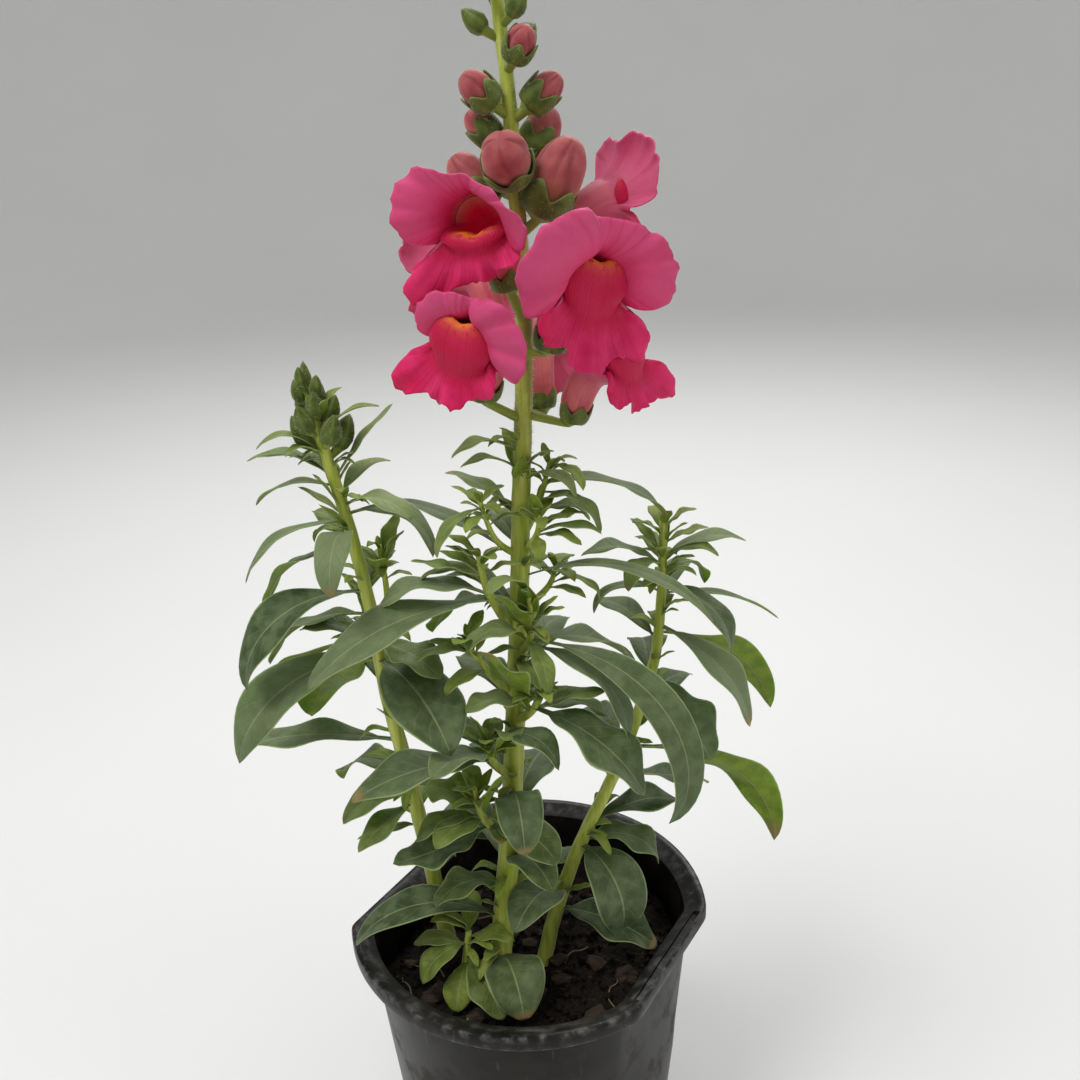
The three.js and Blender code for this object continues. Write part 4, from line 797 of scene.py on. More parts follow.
def soil_material():
    paint = Paint("soil", Specular_IOR_Level=0.25)
    lumps = paint.cells(420)
    grain = paint.noise(900, 6, 0.7)
    colour = paint.fade(grain, 0.35, 0.7, shade(12, 9, 6), shade(40, 30, 22))
    fibres = paint.span(paint.noise(700, 4, 0.6, stretch=(0.2, 1, 1)), 0.62, 0.7)
    colour = paint.layer(colour, fibres, 0.5, shade(98, 78, 58))
    height = paint.math("ADD", lumps, grain)
    return paint.finish(colour, 0.92, height, 0.9, 0.9)


def bark_material():
    paint = Paint("bark", Specular_IOR_Level=0.3)
    grain = paint.noise(500, 5, 0.65, stretch=(0.25, 1, 1))
    colour = paint.fade(grain, 0.3, 0.7, shade(24, 18, 14), shade(72, 56, 44))
    return paint.finish(colour, 0.85, grain, 0.5, 0.8)


def root_material():
    paint = Paint("root", Specular_IOR_Level=0.3)
    colour = paint.mix(paint.noise(600, 4), shade(104, 84, 62), shade(150, 130, 102))
    return paint.finish(colour, 0.8, paint.noise(1500, 3), 0.15, 0.6)


def floor_material():
    paint = Paint("studio_floor", Specular_IOR_Level=0.3)
    colour = paint.mix(paint.noise(3, 2), shade(226, 226, 224), shade(232, 232, 230))
    return paint.finish(colour, 0.8)


# ---- Stems ----------------------------------------------------------------------------------

class Stem:
    """A stem's centre line and radius, with the CAD model's own curve."""

    def __init__(self, row):
        self.radius, points = row
        self.spans = len(points) - 1
        self.padded = with_ends(points)

    def point(self, share):
        place = min(max(share, 0.0), 1.0) * self.spans
        index = min(int(place), self.spans - 1)
        return curve_point(*self.padded[index:index + 4], place - index)

    def share_at(self, height):
        low, high = 0.0, 1.0
        for _ in range(20):
            middle = (low + high) / 2
            if self.point(middle)[2] < height:
                low = middle
            else:
                high = middle
        return (low + high) / 2

    def at(self, height):
        return self.point(self.share_at(height))

    def radius_at(self, height):
        foot, tip = self.radius
        return foot + (tip - foot) * self.share_at(height)

    def frames(self, steps):
        """Centres, two side vectors and radii at equal steps along the stem."""
        shares = np.linspace(0, 1, steps + 1)
        centres = np.array([self.point(share) for share in shares])
        tangents = unit(np.gradient(centres, axis=0))
        across = unit(np.array([1.0, 0, 0]) - tangents * tangents[:, :1])
        beyond = np.cross(tangents, across)
        radii = self.radius[0] + (self.radius[1] - self.radius[0]) * shares
        return centres, across, beyond, radii


def add_stem(shape, stem, sides, steps_per_span, blush=0.0, uneven=1.0):
    """A skin round the stem; blush is how red it is at its reddest."""
    centres, across, beyond, radii = stem.frames(stem.spans * steps_per_span)
    turns = np.radians(once_round(sides))
    wobble = 0.05 * np.sin(3 * turns)[None, :] + 0.03 * np.sin(centres[:, 2:] * 0.5 + turns[None, :])
    reach = radii[:, None] * (1 + uneven * wobble)
    outward = (
        across[:, None] * np.cos(turns)[None, :, None] + beyond[:, None] * np.sin(turns)[None, :, None]
    )
    reddened = blush * bell(centres[:, 2], *BLUSH)[:, None]
    shape.add_loft(centres[:, None] + reach[..., None] * outward, blush=reddened)


# ---- Leaves ---------------------------------------------------------------------------------

def midrib(foot, azimuth, length, rise, droop, sweep, roll):
    """The midrib's points from the foot on, with the blade's side and upward vectors."""
    share = np.linspace(0, 1, MIDRIB_STEPS + 1)
    elevation = rise - droop * share ** DROOP_POWER
    heading = azimuth + sweep * share
    along = direction(heading, elevation)
    level = direction(heading + 90, np.zeros_like(share))
    up = np.cross(along, level)
    turn = np.radians(roll * np.clip(share / 0.4, 0, 1))[:, None]
    side = level * np.cos(turn) + up * np.sin(turn)
    normal = np.cross(along, side)
    steps = np.concatenate([[np.zeros(3)], along[:-1] * (length / MIDRIB_STEPS)])
    return foot + np.cumsum(steps, axis=0), side, normal, share


def leaf_outline(share):
    """Half the blade's width for a leaf one unit wide: a thin stalk, then the blade."""
    stalk = 0.1
    blade = np.clip((share - stalk) / (1 - stalk), 0, 1)
    wide = np.sin(np.pi * blade ** 1.1) ** 0.75
    return 0.5 * BLADE_SPREAD * np.maximum(0.13 * (1 - share), wide)


def add_leaf(shape, stem, row, draw):
    """One leaf: a folded, slightly waved blade with a ridge under its midrib."""
    height, azimuth, length, width, rise, droop, sweep, roll = (*row, 0, 0)[:8]
    reach = length + stem.radius_at(height)
    centre, side, normal, share = midrib(stem.at(height), azimuth, reach, rise, droop, sweep, roll)
    tip = centre[-1]
    every, halves = (1, 6) if length > LARGE_LEAF else (2, 4)
    centre, side, normal, share = (values[:-1][::every] for values in (centre, side, normal, share))
    spots = np.linspace(-1, 1, 2 * halves + 1)
    half = (width * leaf_outline(share))[:, None]
    waves, phase = between(draw, 1.4, 2.6), between(draw, 0, 6.28)
    ripple = between(draw, 0.08, 0.24) * np.sin(
        2 * math.pi * waves * share[:, None] + phase + 1.4 * (spots[None, :] > 0)
    )
    fold = math.radians(LEAF_FOLD)
    v = np.abs(spots)[None, :]
    lift = half * (math.sin(fold) * v ** 1.2 + ripple * v ** 2 - 0.1 * v ** 4)
    across = half * math.cos(fold) * spots[None, :]
    sheet = centre[:, None] + side[:, None] * across[..., None] + normal[:, None] * lift[..., None]
    ridge = MIDRIB_RIDGE * min(1.0, width / 10) * bell(v, 0, 0.16) * (1 - 0.8 * share[:, None])
    thin = BLADE_THICKNESS * (1 - 0.45 * v)
    top = sheet + normal[:, None] * (0.5 * thin - 0.25 * ridge)[..., None]
    below = sheet - normal[:, None] * (0.5 * thin + ridge)[..., None]
    rings = np.concatenate([top, below[:, ::-1]], axis=1)
    v_ring = np.concatenate([v, v[:, ::-1]], axis=1)
    under = np.concatenate([np.zeros_like(v), np.ones_like(v)], axis=1)
    dry = draw()
    # Painted shade: the lower a leaf sits, the darker its tone, as if less light reached it.
    painted_light = float(np.clip((height - 80) / 140, 0.2, 1))
    shape.add_loft(
        rings, last_tip=tip, across=v_ring, along=share[:, None], under=under,
        tone=draw() * painted_light, dry=dry if dry > DRY_LEAF else 0.0,
        young=float(np.clip((30 - length) / 16, 0, 1)),
    )


def far_leaves(start, end, count, middle, arc, length, width, seed):
    """Leaves by rule for the side that the photograph doesn't show, as in the CAD model."""
    draw = make_random(seed)
    rows = []
    for i in range(count):
        share = (i + 0.5) / count
        turn = ((i * GOLDEN_ANGLE) % 360) / 360 - 0.5
        rows.append((
            start + (end - start) * share,
            middle + arc * turn,
            (length[0] + (length[1] - length[0]) * share) * (0.85 + 0.3 * draw()),
            (width[0] + (width[1] - width[0]) * share) * (0.85 + 0.3 * draw()),
            5 + 35 * share + 15 * draw(),
            50 + 45 * draw(),
        ))
    return rows


def axil_leaves(rows, count, draw):
    """Young leaves of the side buds that sit where a larger leaf leaves the stem."""
    young = []
    for height, azimuth, length, *_ in rows:
        if length < AXIL_LEAVES["above"]:
            continue
        for _ in range(count):
            small = between(draw, *AXIL_LEAVES["length"])
            young.append((
                height + between(draw, 0.5, 4), azimuth + between(draw, -55, 55), small,
                small * between(draw, 0.22, 0.32), between(draw, 35, 80), between(draw, 20, 130),
            ))
    return young


def tip_leaves(stem, draw):
    """A tuft of young leaves round the tip of a side shoot."""
    young = []
    for i in range(TIP_TUFT["count"]):
        share = i / TIP_TUFT["count"]
        small = between(draw, *TIP_TUFT["length"]) * (1 - 0.4 * share)
        young.append((
            stem.point(0.7 + 0.28 * share)[2], GOLDEN_ANGLE * i, small, small * 0.3,
            40 + 35 * share, between(draw, 30, 110),
        ))
    return young


def make_leafy_stem(node, stems, leaves, far, seed):
    """The leaves and the stems of one leafy stem, as two pieces."""
    draw = make_random(seed)
    blades = Shape("across", "along", "under", "tone", "dry", "young")
    wood = Shape("blush")
    for name, row in stems.items():
        stem = Stem(row)
        main = name == "stem"
        sides, steps = (20, 8) if main else (10, 6)
        add_stem(wood, stem, sides, steps, float(node == "main_stem"))
        rows = list(leaves.get(name, ()))
        if main and far:
            rows += far_leaves(**far)
        for leaf in rows:
            add_leaf(blades, stem, leaf, draw)
        young = axil_leaves(rows, 2 if main else 1, draw) + ([] if main else tip_leaves(stem, draw))
        for leaf in young:
            add_leaf(blades, stem, leaf, draw)
    make_piece(f"{node}_leaves", blades, LEAF, node)
    make_piece(f"{node}_stems", wood, STEM, node)
    return wood


# ---- Flowers --------------------------------------------------------------------------------

def facing(point, face, tilt, roll=0.0):
    """A frame with its axes forward, to the flower's left and up, as four columns."""
    forward = direction(face, tilt)
    level = direction(face + 90, 0)
    up = np.cross(forward, level)
    turn = math.radians(roll)
    left = level * math.cos(turn) + up * math.sin(turn)
    return np.stack([forward, left, np.cross(forward, left), np.asarray(point, float)], axis=1)


def placed(frame_matrix, points):
    return np.asarray(points) @ frame_matrix[:, :3].T + frame_matrix[:, 3]


def moved_to(frame_matrix, point):
    result = frame_matrix.copy()
    result[:, 3] = point
    return result


def turned_toward(frame_matrix, heading, point):
    """The frame at another point, turned the short way until it faces along the heading."""
    turn = Vector(frame_matrix[:, 0]).rotation_difference(Vector(heading)).to_matrix()
    return np.concatenate([np.array(turn) @ frame_matrix[:, :3], np.reshape(point, (3, 1))], axis=1)


def bud_frame(height, azimuth, pedicel, lift, face, tilt):
    """Where a bud sits on its pedicel, and where it points."""
    reach = MAIN.radius_at(height) + pedicel
    return facing(MAIN.at(height) + direction(azimuth, lift) * reach, face, tilt)


def tube_line(bend, size):
    """Centre line of the tube: x, z and pitch at each step from its foot."""
    line = [(0.0, 0.0, math.radians(bend))]
    step = size * TUBE_LENGTH / TUBE_STEPS
    for i in range(1, TUBE_STEPS + 1):
        pitch = math.radians(bend) * (1 - (i / TUBE_STEPS) ** TUBE_BEND_POWER)
        x, z, _ = line[-1]
        line.append((x + step * math.cos(pitch), z + step * math.sin(pitch), pitch))
    return np.array(line)


def flower_frame(flower):
    """The frame of the tube's foot, placed so that the mouth is where its row says."""
    end = tube_line(flower["bend"], flower["size"])[-1]
    turned = facing((0, 0, 0), flower["face"], flower["tilt"], flower["roll"])
    offset = placed(turned, (end[0], 0, end[1]))
    return moved_to(turned, np.array(flower["mouth"]) - offset)


def tube_ring(line, distance, radius, sag, size, angles):
    """A ring square to the tube's centre line, with its pouch hanging below."""
    place = distance / TUBE_LENGTH * TUBE_STEPS
    x, z, pitch = (np.interp(place, np.arange(TUBE_STEPS + 1), line[:, k]) for k in range(3))
    across = size * radius * np.cos(angles)
    up = size * (radius * np.sin(angles) + sag * np.minimum(0, np.sin(angles)))
    return np.stack([x - up * math.sin(pitch), across, z + up * math.cos(pitch)], axis=1)


def fine_edge():
    """The petal edge's stations with many smooth steps between them, once round the mouth."""
    table = np.array(PETAL_EDGE, float)
    turn = np.array([360, 0, 0, 0, 5], float)
    rows = np.concatenate([[table[-1] - turn], table, [table[0] + turn, table[1] + turn]])
    fine = curve_through(rows, EDGE_FINE)
    return fine[EDGE_FINE:-EDGE_FINE - 1]


def for_lobe(values, lobe):
    """Each lobe's own value on the lobe, blended in the notch between two."""
    values = np.array(values, float)
    first = np.floor(lobe).astype(int)
    share = lobe - first
    return values[first % 5] * (1 - share) + values[(first + 1) % 5] * share


def petal_sheet(flower, mouth, draw):
    """The middle surface of the petals: rows from the mouth to the edge."""
    angle, edge, start, end, lobe = EDGE.T
    size = flower["size"]
    outward = np.linspace(0, 1, PETAL_ROWS + 1)[:, None]
    angles = np.radians(angle + for_lobe(flower["turn"], lobe) * outward)
    length = size * edge * for_lobe(flower["reach"], lobe) * crinkle(lobe, draw) * outward
    full_pitch = end + for_lobe(flower["curl"], lobe) - start
    shelf = shelf_share(np.radians(angle))
    forward = size * LOWER_LIP["forward"] * shelf + 0 * outward
    radial = size * MOUTH_RADIUS + 0 * length
    for k in range(PETAL_STEPS):
        pitch = np.radians(start + full_pitch * outward * (k + 0.5) / PETAL_STEPS)
        forward = forward + np.cos(pitch) * length / PETAL_STEPS
        radial = radial + np.sin(pitch) * length / PETAL_STEPS
    sag = for_lobe(flower["hang"], lobe) * outward ** 2
    widened = 1 + LOWER_LIP["widen"] * shelf * (1 - outward) ** 2
    sheet = np.stack([
        mouth[0] + forward,
        radial * widened * np.cos(angles),
        mouth[1] + radial * np.sin(angles) - sag,
    ], axis=2)
    return ruffled(sheet, size, lobe, outward, edge, draw)


def lower_share(lobe):
    """1 on the lower lip's three lobes and 0 on the upper lip's two."""
    return np.clip(lobe - 1.5, 0, 1) * np.clip(4.5 - lobe, 0, 1)


def shelf_share(angles):
    """How much the lower lip's shelf stands out: 0 in the upper half of the mouth, 1 below."""
    return np.maximum(0, -np.sin(angles)) ** PALATE["flatness"]


def crinkle(lobe, draw):
    """Small nicks in the petals' edge, deeper on the lower lip."""
    around = np.radians(EDGE[:, 0])
    is_lower = lower_share(lobe)
    phases = [between(draw, 0, 2 * math.pi) for _ in range(3)]
    nicks = (
        0.5 * np.sin(17 * around + phases[0]) + 0.3 * np.sin(29 * around + phases[1])
        + 0.2 * np.sin(43 * around + phases[2])
    )
    return 1 + (0.05 + 0.04 * is_lower) * nicks


def ruffled(sheet, size, lobe, outward, edge, draw):
    """Waves that grow towards the petal's edge, on lobes that bulge a little."""
    phases = [between(draw, 0, 2 * math.pi) for _ in range(4)]
    around = np.radians(EDGE[:, 0])
    is_lower = lower_share(lobe)
    wave = (
        0.6 * np.sin(7 * around + phases[0]) + (0.3 + 0.35 * is_lower) * np.sin(13 * around + phases[1])
        + (0.12 + 0.25 * is_lower) * np.sin(24 * around + phases[2])
    )
    slow = 0.8 + 0.4 * np.sin(2 * around + phases[3])
    height = size * (1.2 + 0.5 * is_lower) * wave * slow * outward ** 1.8 * np.clip(edge / 14, 0, 1)
    bulge = 1.5 - 0.7 * is_lower
    cup = size * bulge * np.cos(math.pi * (lobe - np.round(lobe))) * np.sin(0.85 * math.pi * outward)
    return sheet + sheet_normals(sheet) * (height + cup)[..., None]


def sheet_normals(sheet):
    around = np.roll(sheet, -1, axis=1) - np.roll(sheet, 1, axis=1)
    onward = np.gradient(sheet, axis=0)
    return unit(np.cross(onward, around))


def petal_skin(sheet, side):
    outward = np.linspace(0, 1, len(sheet))[:, None, None]
    thickness = PETAL_THICKNESS * (1 - (1 - PETAL_RIM) * np.minimum(1, 1.6 * outward))
    return sheet + sheet_normals(sheet) * (side * thickness / 2)


def palate_humps(angles):
    """1 over most of the palate, more on its two humps and less in the cleft between them."""
    degrees = np.degrees(angles) % 360
    return 1 + 0.04 * (bell(degrees, 245, 18) + bell(degrees, 295, 18)) - 0.05 * bell(degrees, 270, 12)


def crest_ring(mouth, flower, angles):
    """The palate's top, which closes the mouth; the mouth's own rim in the upper half."""
    size = flower["size"]
    shelf = shelf_share(angles)
    humps = palate_humps(angles)
    radius = size * (MOUTH_RADIUS - PETAL_THICKNESS)
    across = radius * (1 + PALATE["widen"] * shelf) * np.cos(angles)
    forward = size * (PETAL_THICKNESS / 2 + (LOWER_LIP["forward"] + PALATE["forward"] * humps) * shelf)
    rise = size * (PALATE["rise"] * humps - flower["gape"]) * shelf
    return np.stack([mouth[0] + forward, across, mouth[1] + radius * np.sin(angles) + rise], axis=1)


def chin_ring(crest, root, flower, angles):
    """The lower lip's bulge, part of the way from the palate's top down to the lobes' root."""
    shelf = shelf_share(angles)
    ring = root + (crest - root) * CHIN["low"]
    ring[:, 0] += flower["size"] * CHIN["forward"] * shelf * palate_humps(angles) ** 2
    ring[:, 1] *= 1 + CHIN["widen"] * shelf
    return ring


def make_flower(flower, seed):
    """Tube, petals, palate and throat as one skin, with the marks that the material reads."""
    draw = make_random(seed)
    size = flower["size"]
    angles = np.radians(EDGE[:, 0])
    line = tube_line(flower["bend"], size)
    mouth = line[-1]
    profile = curve_through(TUBE_PROFILE, 5)
    tube = np.array([tube_ring(line, *station, size, angles) for station in profile])
    sheet = petal_sheet(flower, mouth, draw)
    back, front = petal_skin(sheet, -1), petal_skin(sheet, 1)[::-1]
    reach = size * THROAT["radius"]
    throat = np.stack([
        mouth[0] - 0.5 * size * THROAT["depth"] + 0 * angles,
        reach * np.cos(angles),
        mouth[1] + reach * np.sin(angles),
    ], axis=1)
    crest = crest_ring(mouth, flower, angles)
    chin = chin_ring(crest, front[-1], flower, angles)
    inside = curve_through([front[-3], front[-1], chin, crest, throat], 5)[6:]
    end = np.array([mouth[0] - size * THROAT["depth"], 0, mouth[1]])
    rings = np.concatenate([tube, back, front, inside])
    parts = [len(tube), len(back), len(front), len(inside)]
    shape = Shape("out", "around", "tube", "palate", "throat", "upper", "back")
    shape.add_loft(
        placed(flower_frame(flower), rings),
        first_tip=placed(flower_frame(flower), (0, 0, 0)),
        last_tip=placed(flower_frame(flower), end),
        **flower_marks(parts, angles),
    )
    make_piece(f"flower_{flower['name']}_petals", shape, PETAL, f"flower_{flower['name']}")


def flower_marks(parts, angles):
    """The petal material's marks, for the rows of rings in each part and the points of a ring."""
    tube, back, front, inside = parts
    outward = np.concatenate([
        np.zeros(tube), np.linspace(0, 1, back), np.linspace(1, 0, front), np.zeros(inside),
    ])[:, None]
    along_tube = np.concatenate([
        np.linspace(1, 0.35, tube), np.linspace(0.35, 0, back) ** 1.5, np.zeros(front + inside),
    ])[:, None]
    behind = np.concatenate([np.ones(tube + back), np.zeros(front + inside)])[:, None]
    inward = np.concatenate([np.zeros(tube + back + front), np.linspace(0, 1, inside)])[:, None]
    degrees = np.degrees(angles) % 360
    humps = np.clip(bell(degrees, 254, 22) + bell(degrees, 286, 22), 0, 1)
    low = np.maximum(0, -np.sin(angles)) ** 0.5
    return {
        "out": outward,
        "around": EDGE[:, 4],
        "tube": along_tube,
        "palate": bell(inward, 0.66, 0.13) * low * humps,
        "throat": np.clip((inward - 0.72) / 0.25, 0, 1),
        "upper": np.clip(np.sin(angles) * 3, 0, 1),
        "back": behind,
    }


# ---- Calyxes and buds -----------------------------------------------------------------------

def ring_at(frame_matrix, forward, radius, turns):
    """A ring across the frame's forward axis; the radius may differ round the ring."""
    radius = np.broadcast_to(radius, turns.shape)
    forward = np.broadcast_to(forward, turns.shape)
    return placed(frame_matrix, np.stack([forward, radius * np.cos(turns), radius * np.sin(turns)], axis=1))


def calyx_reach(girth, share):
    """The calyx's inside, which swells with the bud from half its girth at the foot."""
    swelling = 0.5 + 0.5 * np.sin(0.5 * math.pi * np.sqrt(share))
    return girth * swelling + SEPAL_CLEARANCE


def add_calyx(shape, start, seat_frame, girth, depth, lean):
    """A cup with five pointed sepals on a thin pedicel."""
    turns = np.radians(once_round(CALYX_SIDES, 90))
    seat = -SEAT_GAP
    phase = (5 * np.arange(CALYX_SIDES) / CALYX_SIDES) % 1
    ridge = np.abs(2 * phase - 1)
    point = SEPAL_NOTCH + (1 - SEPAL_NOTCH) * np.sin(0.5 * np.pi * ridge) ** 1.6
    leaning = moved_to(seat_frame, placed(seat_frame, (0, 0, -lean)))
    outside = []
    for share in CALYX_ROWS:
        forward = seat - CALYX_FLOOR + (depth * point - seat + CALYX_FLOOR) * share
        thickness = SEPAL_THICKNESS * (1 - 0.5 * share)
        outside.append(ring_at(leaning, forward, calyx_reach(girth, share * point) + thickness, turns))
    inside = []
    for share in reversed(CALYX_ROWS):
        forward = seat + (depth * point - seat) * share
        frame_here = leaning if share > CALYX_ROWS[0] else seat_frame
        inside.append(ring_at(frame_here, forward, calyx_reach(girth, share * point), turns))
    foot = placed(seat_frame, (seat - PEDICEL_END, 0, 0))
    heading = unit(foot - start)
    elbow = foot - heading * min(PEDICEL_END, 0.5 * np.linalg.norm(foot - start))
    halfway = turned_toward(seat_frame, unit(heading + seat_frame[:, 0]), elbow)
    pedicel = curve_through([
        ring_at(turned_toward(seat_frame, heading, start), 0, PEDICEL_RADIUS, turns),
        ring_at(halfway, 0, PEDICEL_RADIUS, turns),
        ring_at(seat_frame, seat - PEDICEL_END, PEDICEL_RADIUS, turns),
    ], 4)
    rings = np.concatenate([
        pedicel,
        [ring_at(seat_frame, seat - CALYX_FLOOR, calyx_reach(girth, 0.0), turns)],
        outside, inside,
        [ring_at(seat_frame, seat, 0.9 * calyx_reach(girth, 0.0), turns)],
    ])
    along = np.concatenate([
        np.zeros(len(pedicel) + 1), CALYX_ROWS, CALYX_ROWS[::-1], [0.0],
    ])[:, None]
    shape.add_loft(rings, along=along, ridge=ridge[None, :])


def make_bud(name, bud, length, girth, seed):
    """A closed bud: an egg of petals rolled over each other, with a slit between its lips."""
    draw = make_random(seed)
    turns = np.radians(once_round(BUD_SIDES))
    stations = curve_through(BUD_PROFILE, 4)
    twist = between(draw, 0.4, 0.9)
    offset = between(draw, 0, 2 * math.pi)
    rings, seams = [], []
    for share, wide in stations:
        phase = 4 * (turns + twist * share) + offset
        groove = bell(np.abs(np.sin(phase / 2)), 0, 0.28) * min(1.0, 0.25 + share)
        slit = bell(np.sin(turns), 0, 0.14) * bell(share, 1.0, 0.45)
        reach = girth * wide * (1 - 0.1 * groove - 0.14 * slit)
        rings.append(ring_at(bud, length * share, reach, turns))
        # Painted shade for the material, strongest in the slit and weaker in the grooves.
        seams.append(np.maximum(0.6 * groove, slit))
    shape = Shape("along", "seam")
    tip = placed(bud, (length * 0.985, 0, 0))
    shape.add_loft(rings, last_tip=tip, along=stations[:, :1], seam=seams)
    make_piece(f"bud_{name}_petals", shape, BUD, f"bud_{name}")


def add_green_buds(shape, stem, start, end, count, reach, length, girth, shrink, lean, seed):
    """A head of small green buds round a stem's tip, closed by a crown of the smallest ones."""
    draw = make_random(seed)
    turns = np.radians(once_round(GREEN_BUD_SIDES, 90))
    ridge = np.abs(2 * (np.arange(GREEN_BUD_SIDES) % 6) / 6 - 1)
    along = np.array([0, 0, *(part for part, _ in GREEN_BUD_PROFILE)])[:, None]
    for i in range(count):
        share = i / (count - 1)
        origin = stem.at(start + (end - start) * share)
        azimuth = 40 + i * GOLDEN_ANGLE + 14 * (draw() - 0.5)
        size = 1 - shrink * share
        foot = origin + direction(azimuth, 30) * (reach * size)
        bud = facing(foot, azimuth, lean[0] + lean[1] * share)
        rings = [
            ring_at(moved_to(bud, origin), 0, 0.8 * PEDICEL_RADIUS * size, turns),
            ring_at(bud, 0, 0.45 * girth * size, turns),
        ]
        for part, wide in GREEN_BUD_PROFILE:
            folds = 1 - 0.12 * (1 - ridge) * part
            rings.append(ring_at(bud, part * length * size, wide * girth * size * folds, turns))
        tip = placed(bud, (length * size, 0, 0))
        shape.add_loft(rings, last_tip=tip, along=along, ridge=ridge[None, :])
    crown = facing(stem.at(end), 0, 90)
    crown_girth = 1.4 * girth * (1 - shrink)
    rings = [
        ring_at(crown, -1, crown_girth, turns),
        ring_at(crown, 0.3 * length, 0.8 * crown_girth * (1 - 0.1 * (1 - ridge)), turns),
        ring_at(crown, 0.55 * length, 0.4 * crown_girth, turns),
    ]
    along = np.array([0, 0.5, 0.8])[:, None]
    shape.add_loft(rings, last_tip=placed(crown, (0.7 * length, 0, 0)), along=along, ridge=ridge[None, :])


# ---- Hairs ----------------------------------------------------------------------------------

def make_hairs(node, sources, count, length, seed):
    """Short fine hairs, each a three-sided spike, on each source's skin above some height."""
    random = np.random.default_rng(seed)
    shape = Shape()
    for source, lowest in sources:
        points = np.concatenate(source.points)
        faces = np.array([face[:3] for face in source.faces])
        a, b, c = (points[faces[:, k]] for k in range(3))
        normals = np.cross(b - a, c - a)
        area = np.linalg.norm(normals, axis=1) * (a[:, 2] > lowest)
        chosen = random.choice(len(faces), count, p=area / area.sum())
        for index in chosen:
            mix = random.dirichlet((1, 1, 1))
            root = mix[0] * a[index] + mix[1] * b[index] + mix[2] * c[index]
            out = unit(normals[index])
            lean = unit(out + 0.35 * random.normal(size=3))
            add_hair(shape, root, out, lean, length * random.uniform(0.6, 1.2))
    make_piece(f"{node}_hairs", shape, HAIR, node)


def add_hair(shape, root, out, lean, length):
    side = unit(np.cross(out, (0.31, 0.52, 0.79)))
    other = np.cross(out, side)
    base = [root + HAIR_RADIUS * (side * math.cos(t) + other * math.sin(t)) for t in (0, 2.09, 4.19)]
    middle = root + 0.5 * length * unit(out + lean)
    tip = root + length * lean
    waist = [middle + 0.6 * (corner - root) for corner in base]
    points = base + waist + [tip]
    faces = []
    for k in range(3):
        after = (k + 1) % 3
        faces.append((k, after, 3 + after, 3 + k))
        faces.append((3 + k, 3 + after, 6))
    faces.append((2, 1, 0))
    shape.add(points, faces)


# ---- Pot ------------------------------------------------------------------------------------

def pot_radius(azimuth, radius, inset, fade):
    """Radius of the pot's outline: a circle cut by the two flats, with soft corners."""
    result = np.full_like(azimuth, radius, dtype=float)
    for flat_azimuth, distance, depth in FLATS:
        turn = np.cos(np.radians(azimuth - flat_azimuth))
        chord = (distance - inset + depth * fade) / np.maximum(turn, 0.2)
        spread = np.abs(result - chord)
        soft = np.maximum(0, FLAT_ROUNDING - spread) ** 2 / (4 * FLAT_ROUNDING)
        cut = np.minimum(result, chord) - soft
        result = np.where(turn > 0.2, cut, result)
    return result


AZIMUTHS = once_round(POT_SIDES)


def pot_ring(radius, height, inset):
    """A level ring of the pot; inset is how far inside the rim's outline it runs."""
    fade = min(1, max(0, (POT_HEIGHT - RIM_LIP - height) / FLAT_FADE))
    reach = pot_radius(AZIMUTHS, radius, inset, fade)[:, None]
    ring = direction(AZIMUTHS, 0) * reach
    ring[:, 2] = height
    return ring


def wall_radius(height):
    """The outside of the pot's straight wall, away from the flats."""
    return BODY_FOOT_RADIUS + (BODY_TOP_RADIUS - BODY_FOOT_RADIUS) * (height / (POT_HEIGHT - RIM_LIP))


WALL_TOP = POT_HEIGHT - RIM_SLOPE - RIM_STEM
BODY_INSET = RIM_RADIUS - BODY_TOP_RADIUS


def inner_ring(height):
    """The inside of the wall, between the waist and the wall's top."""
    share = (height - WAIST) / (WALL_TOP - WAIST)
    waist = pot_ring(wall_radius(WAIST) - WALL, WAIST, BODY_INSET + WALL)
    top = pot_ring(BODY_TOP_RADIUS - WALL, WALL_TOP, BODY_INSET + WALL)
    return waist + (top - waist) * share


def rows_inside(radius, inset, rows):
    """Rings with their wear and painted edge highlight, for rows of distance inside an outline, height and
    that mark.
    """
    return [(pot_ring(radius - inside, height, inset + inside), worn) for inside, height, worn in rows]


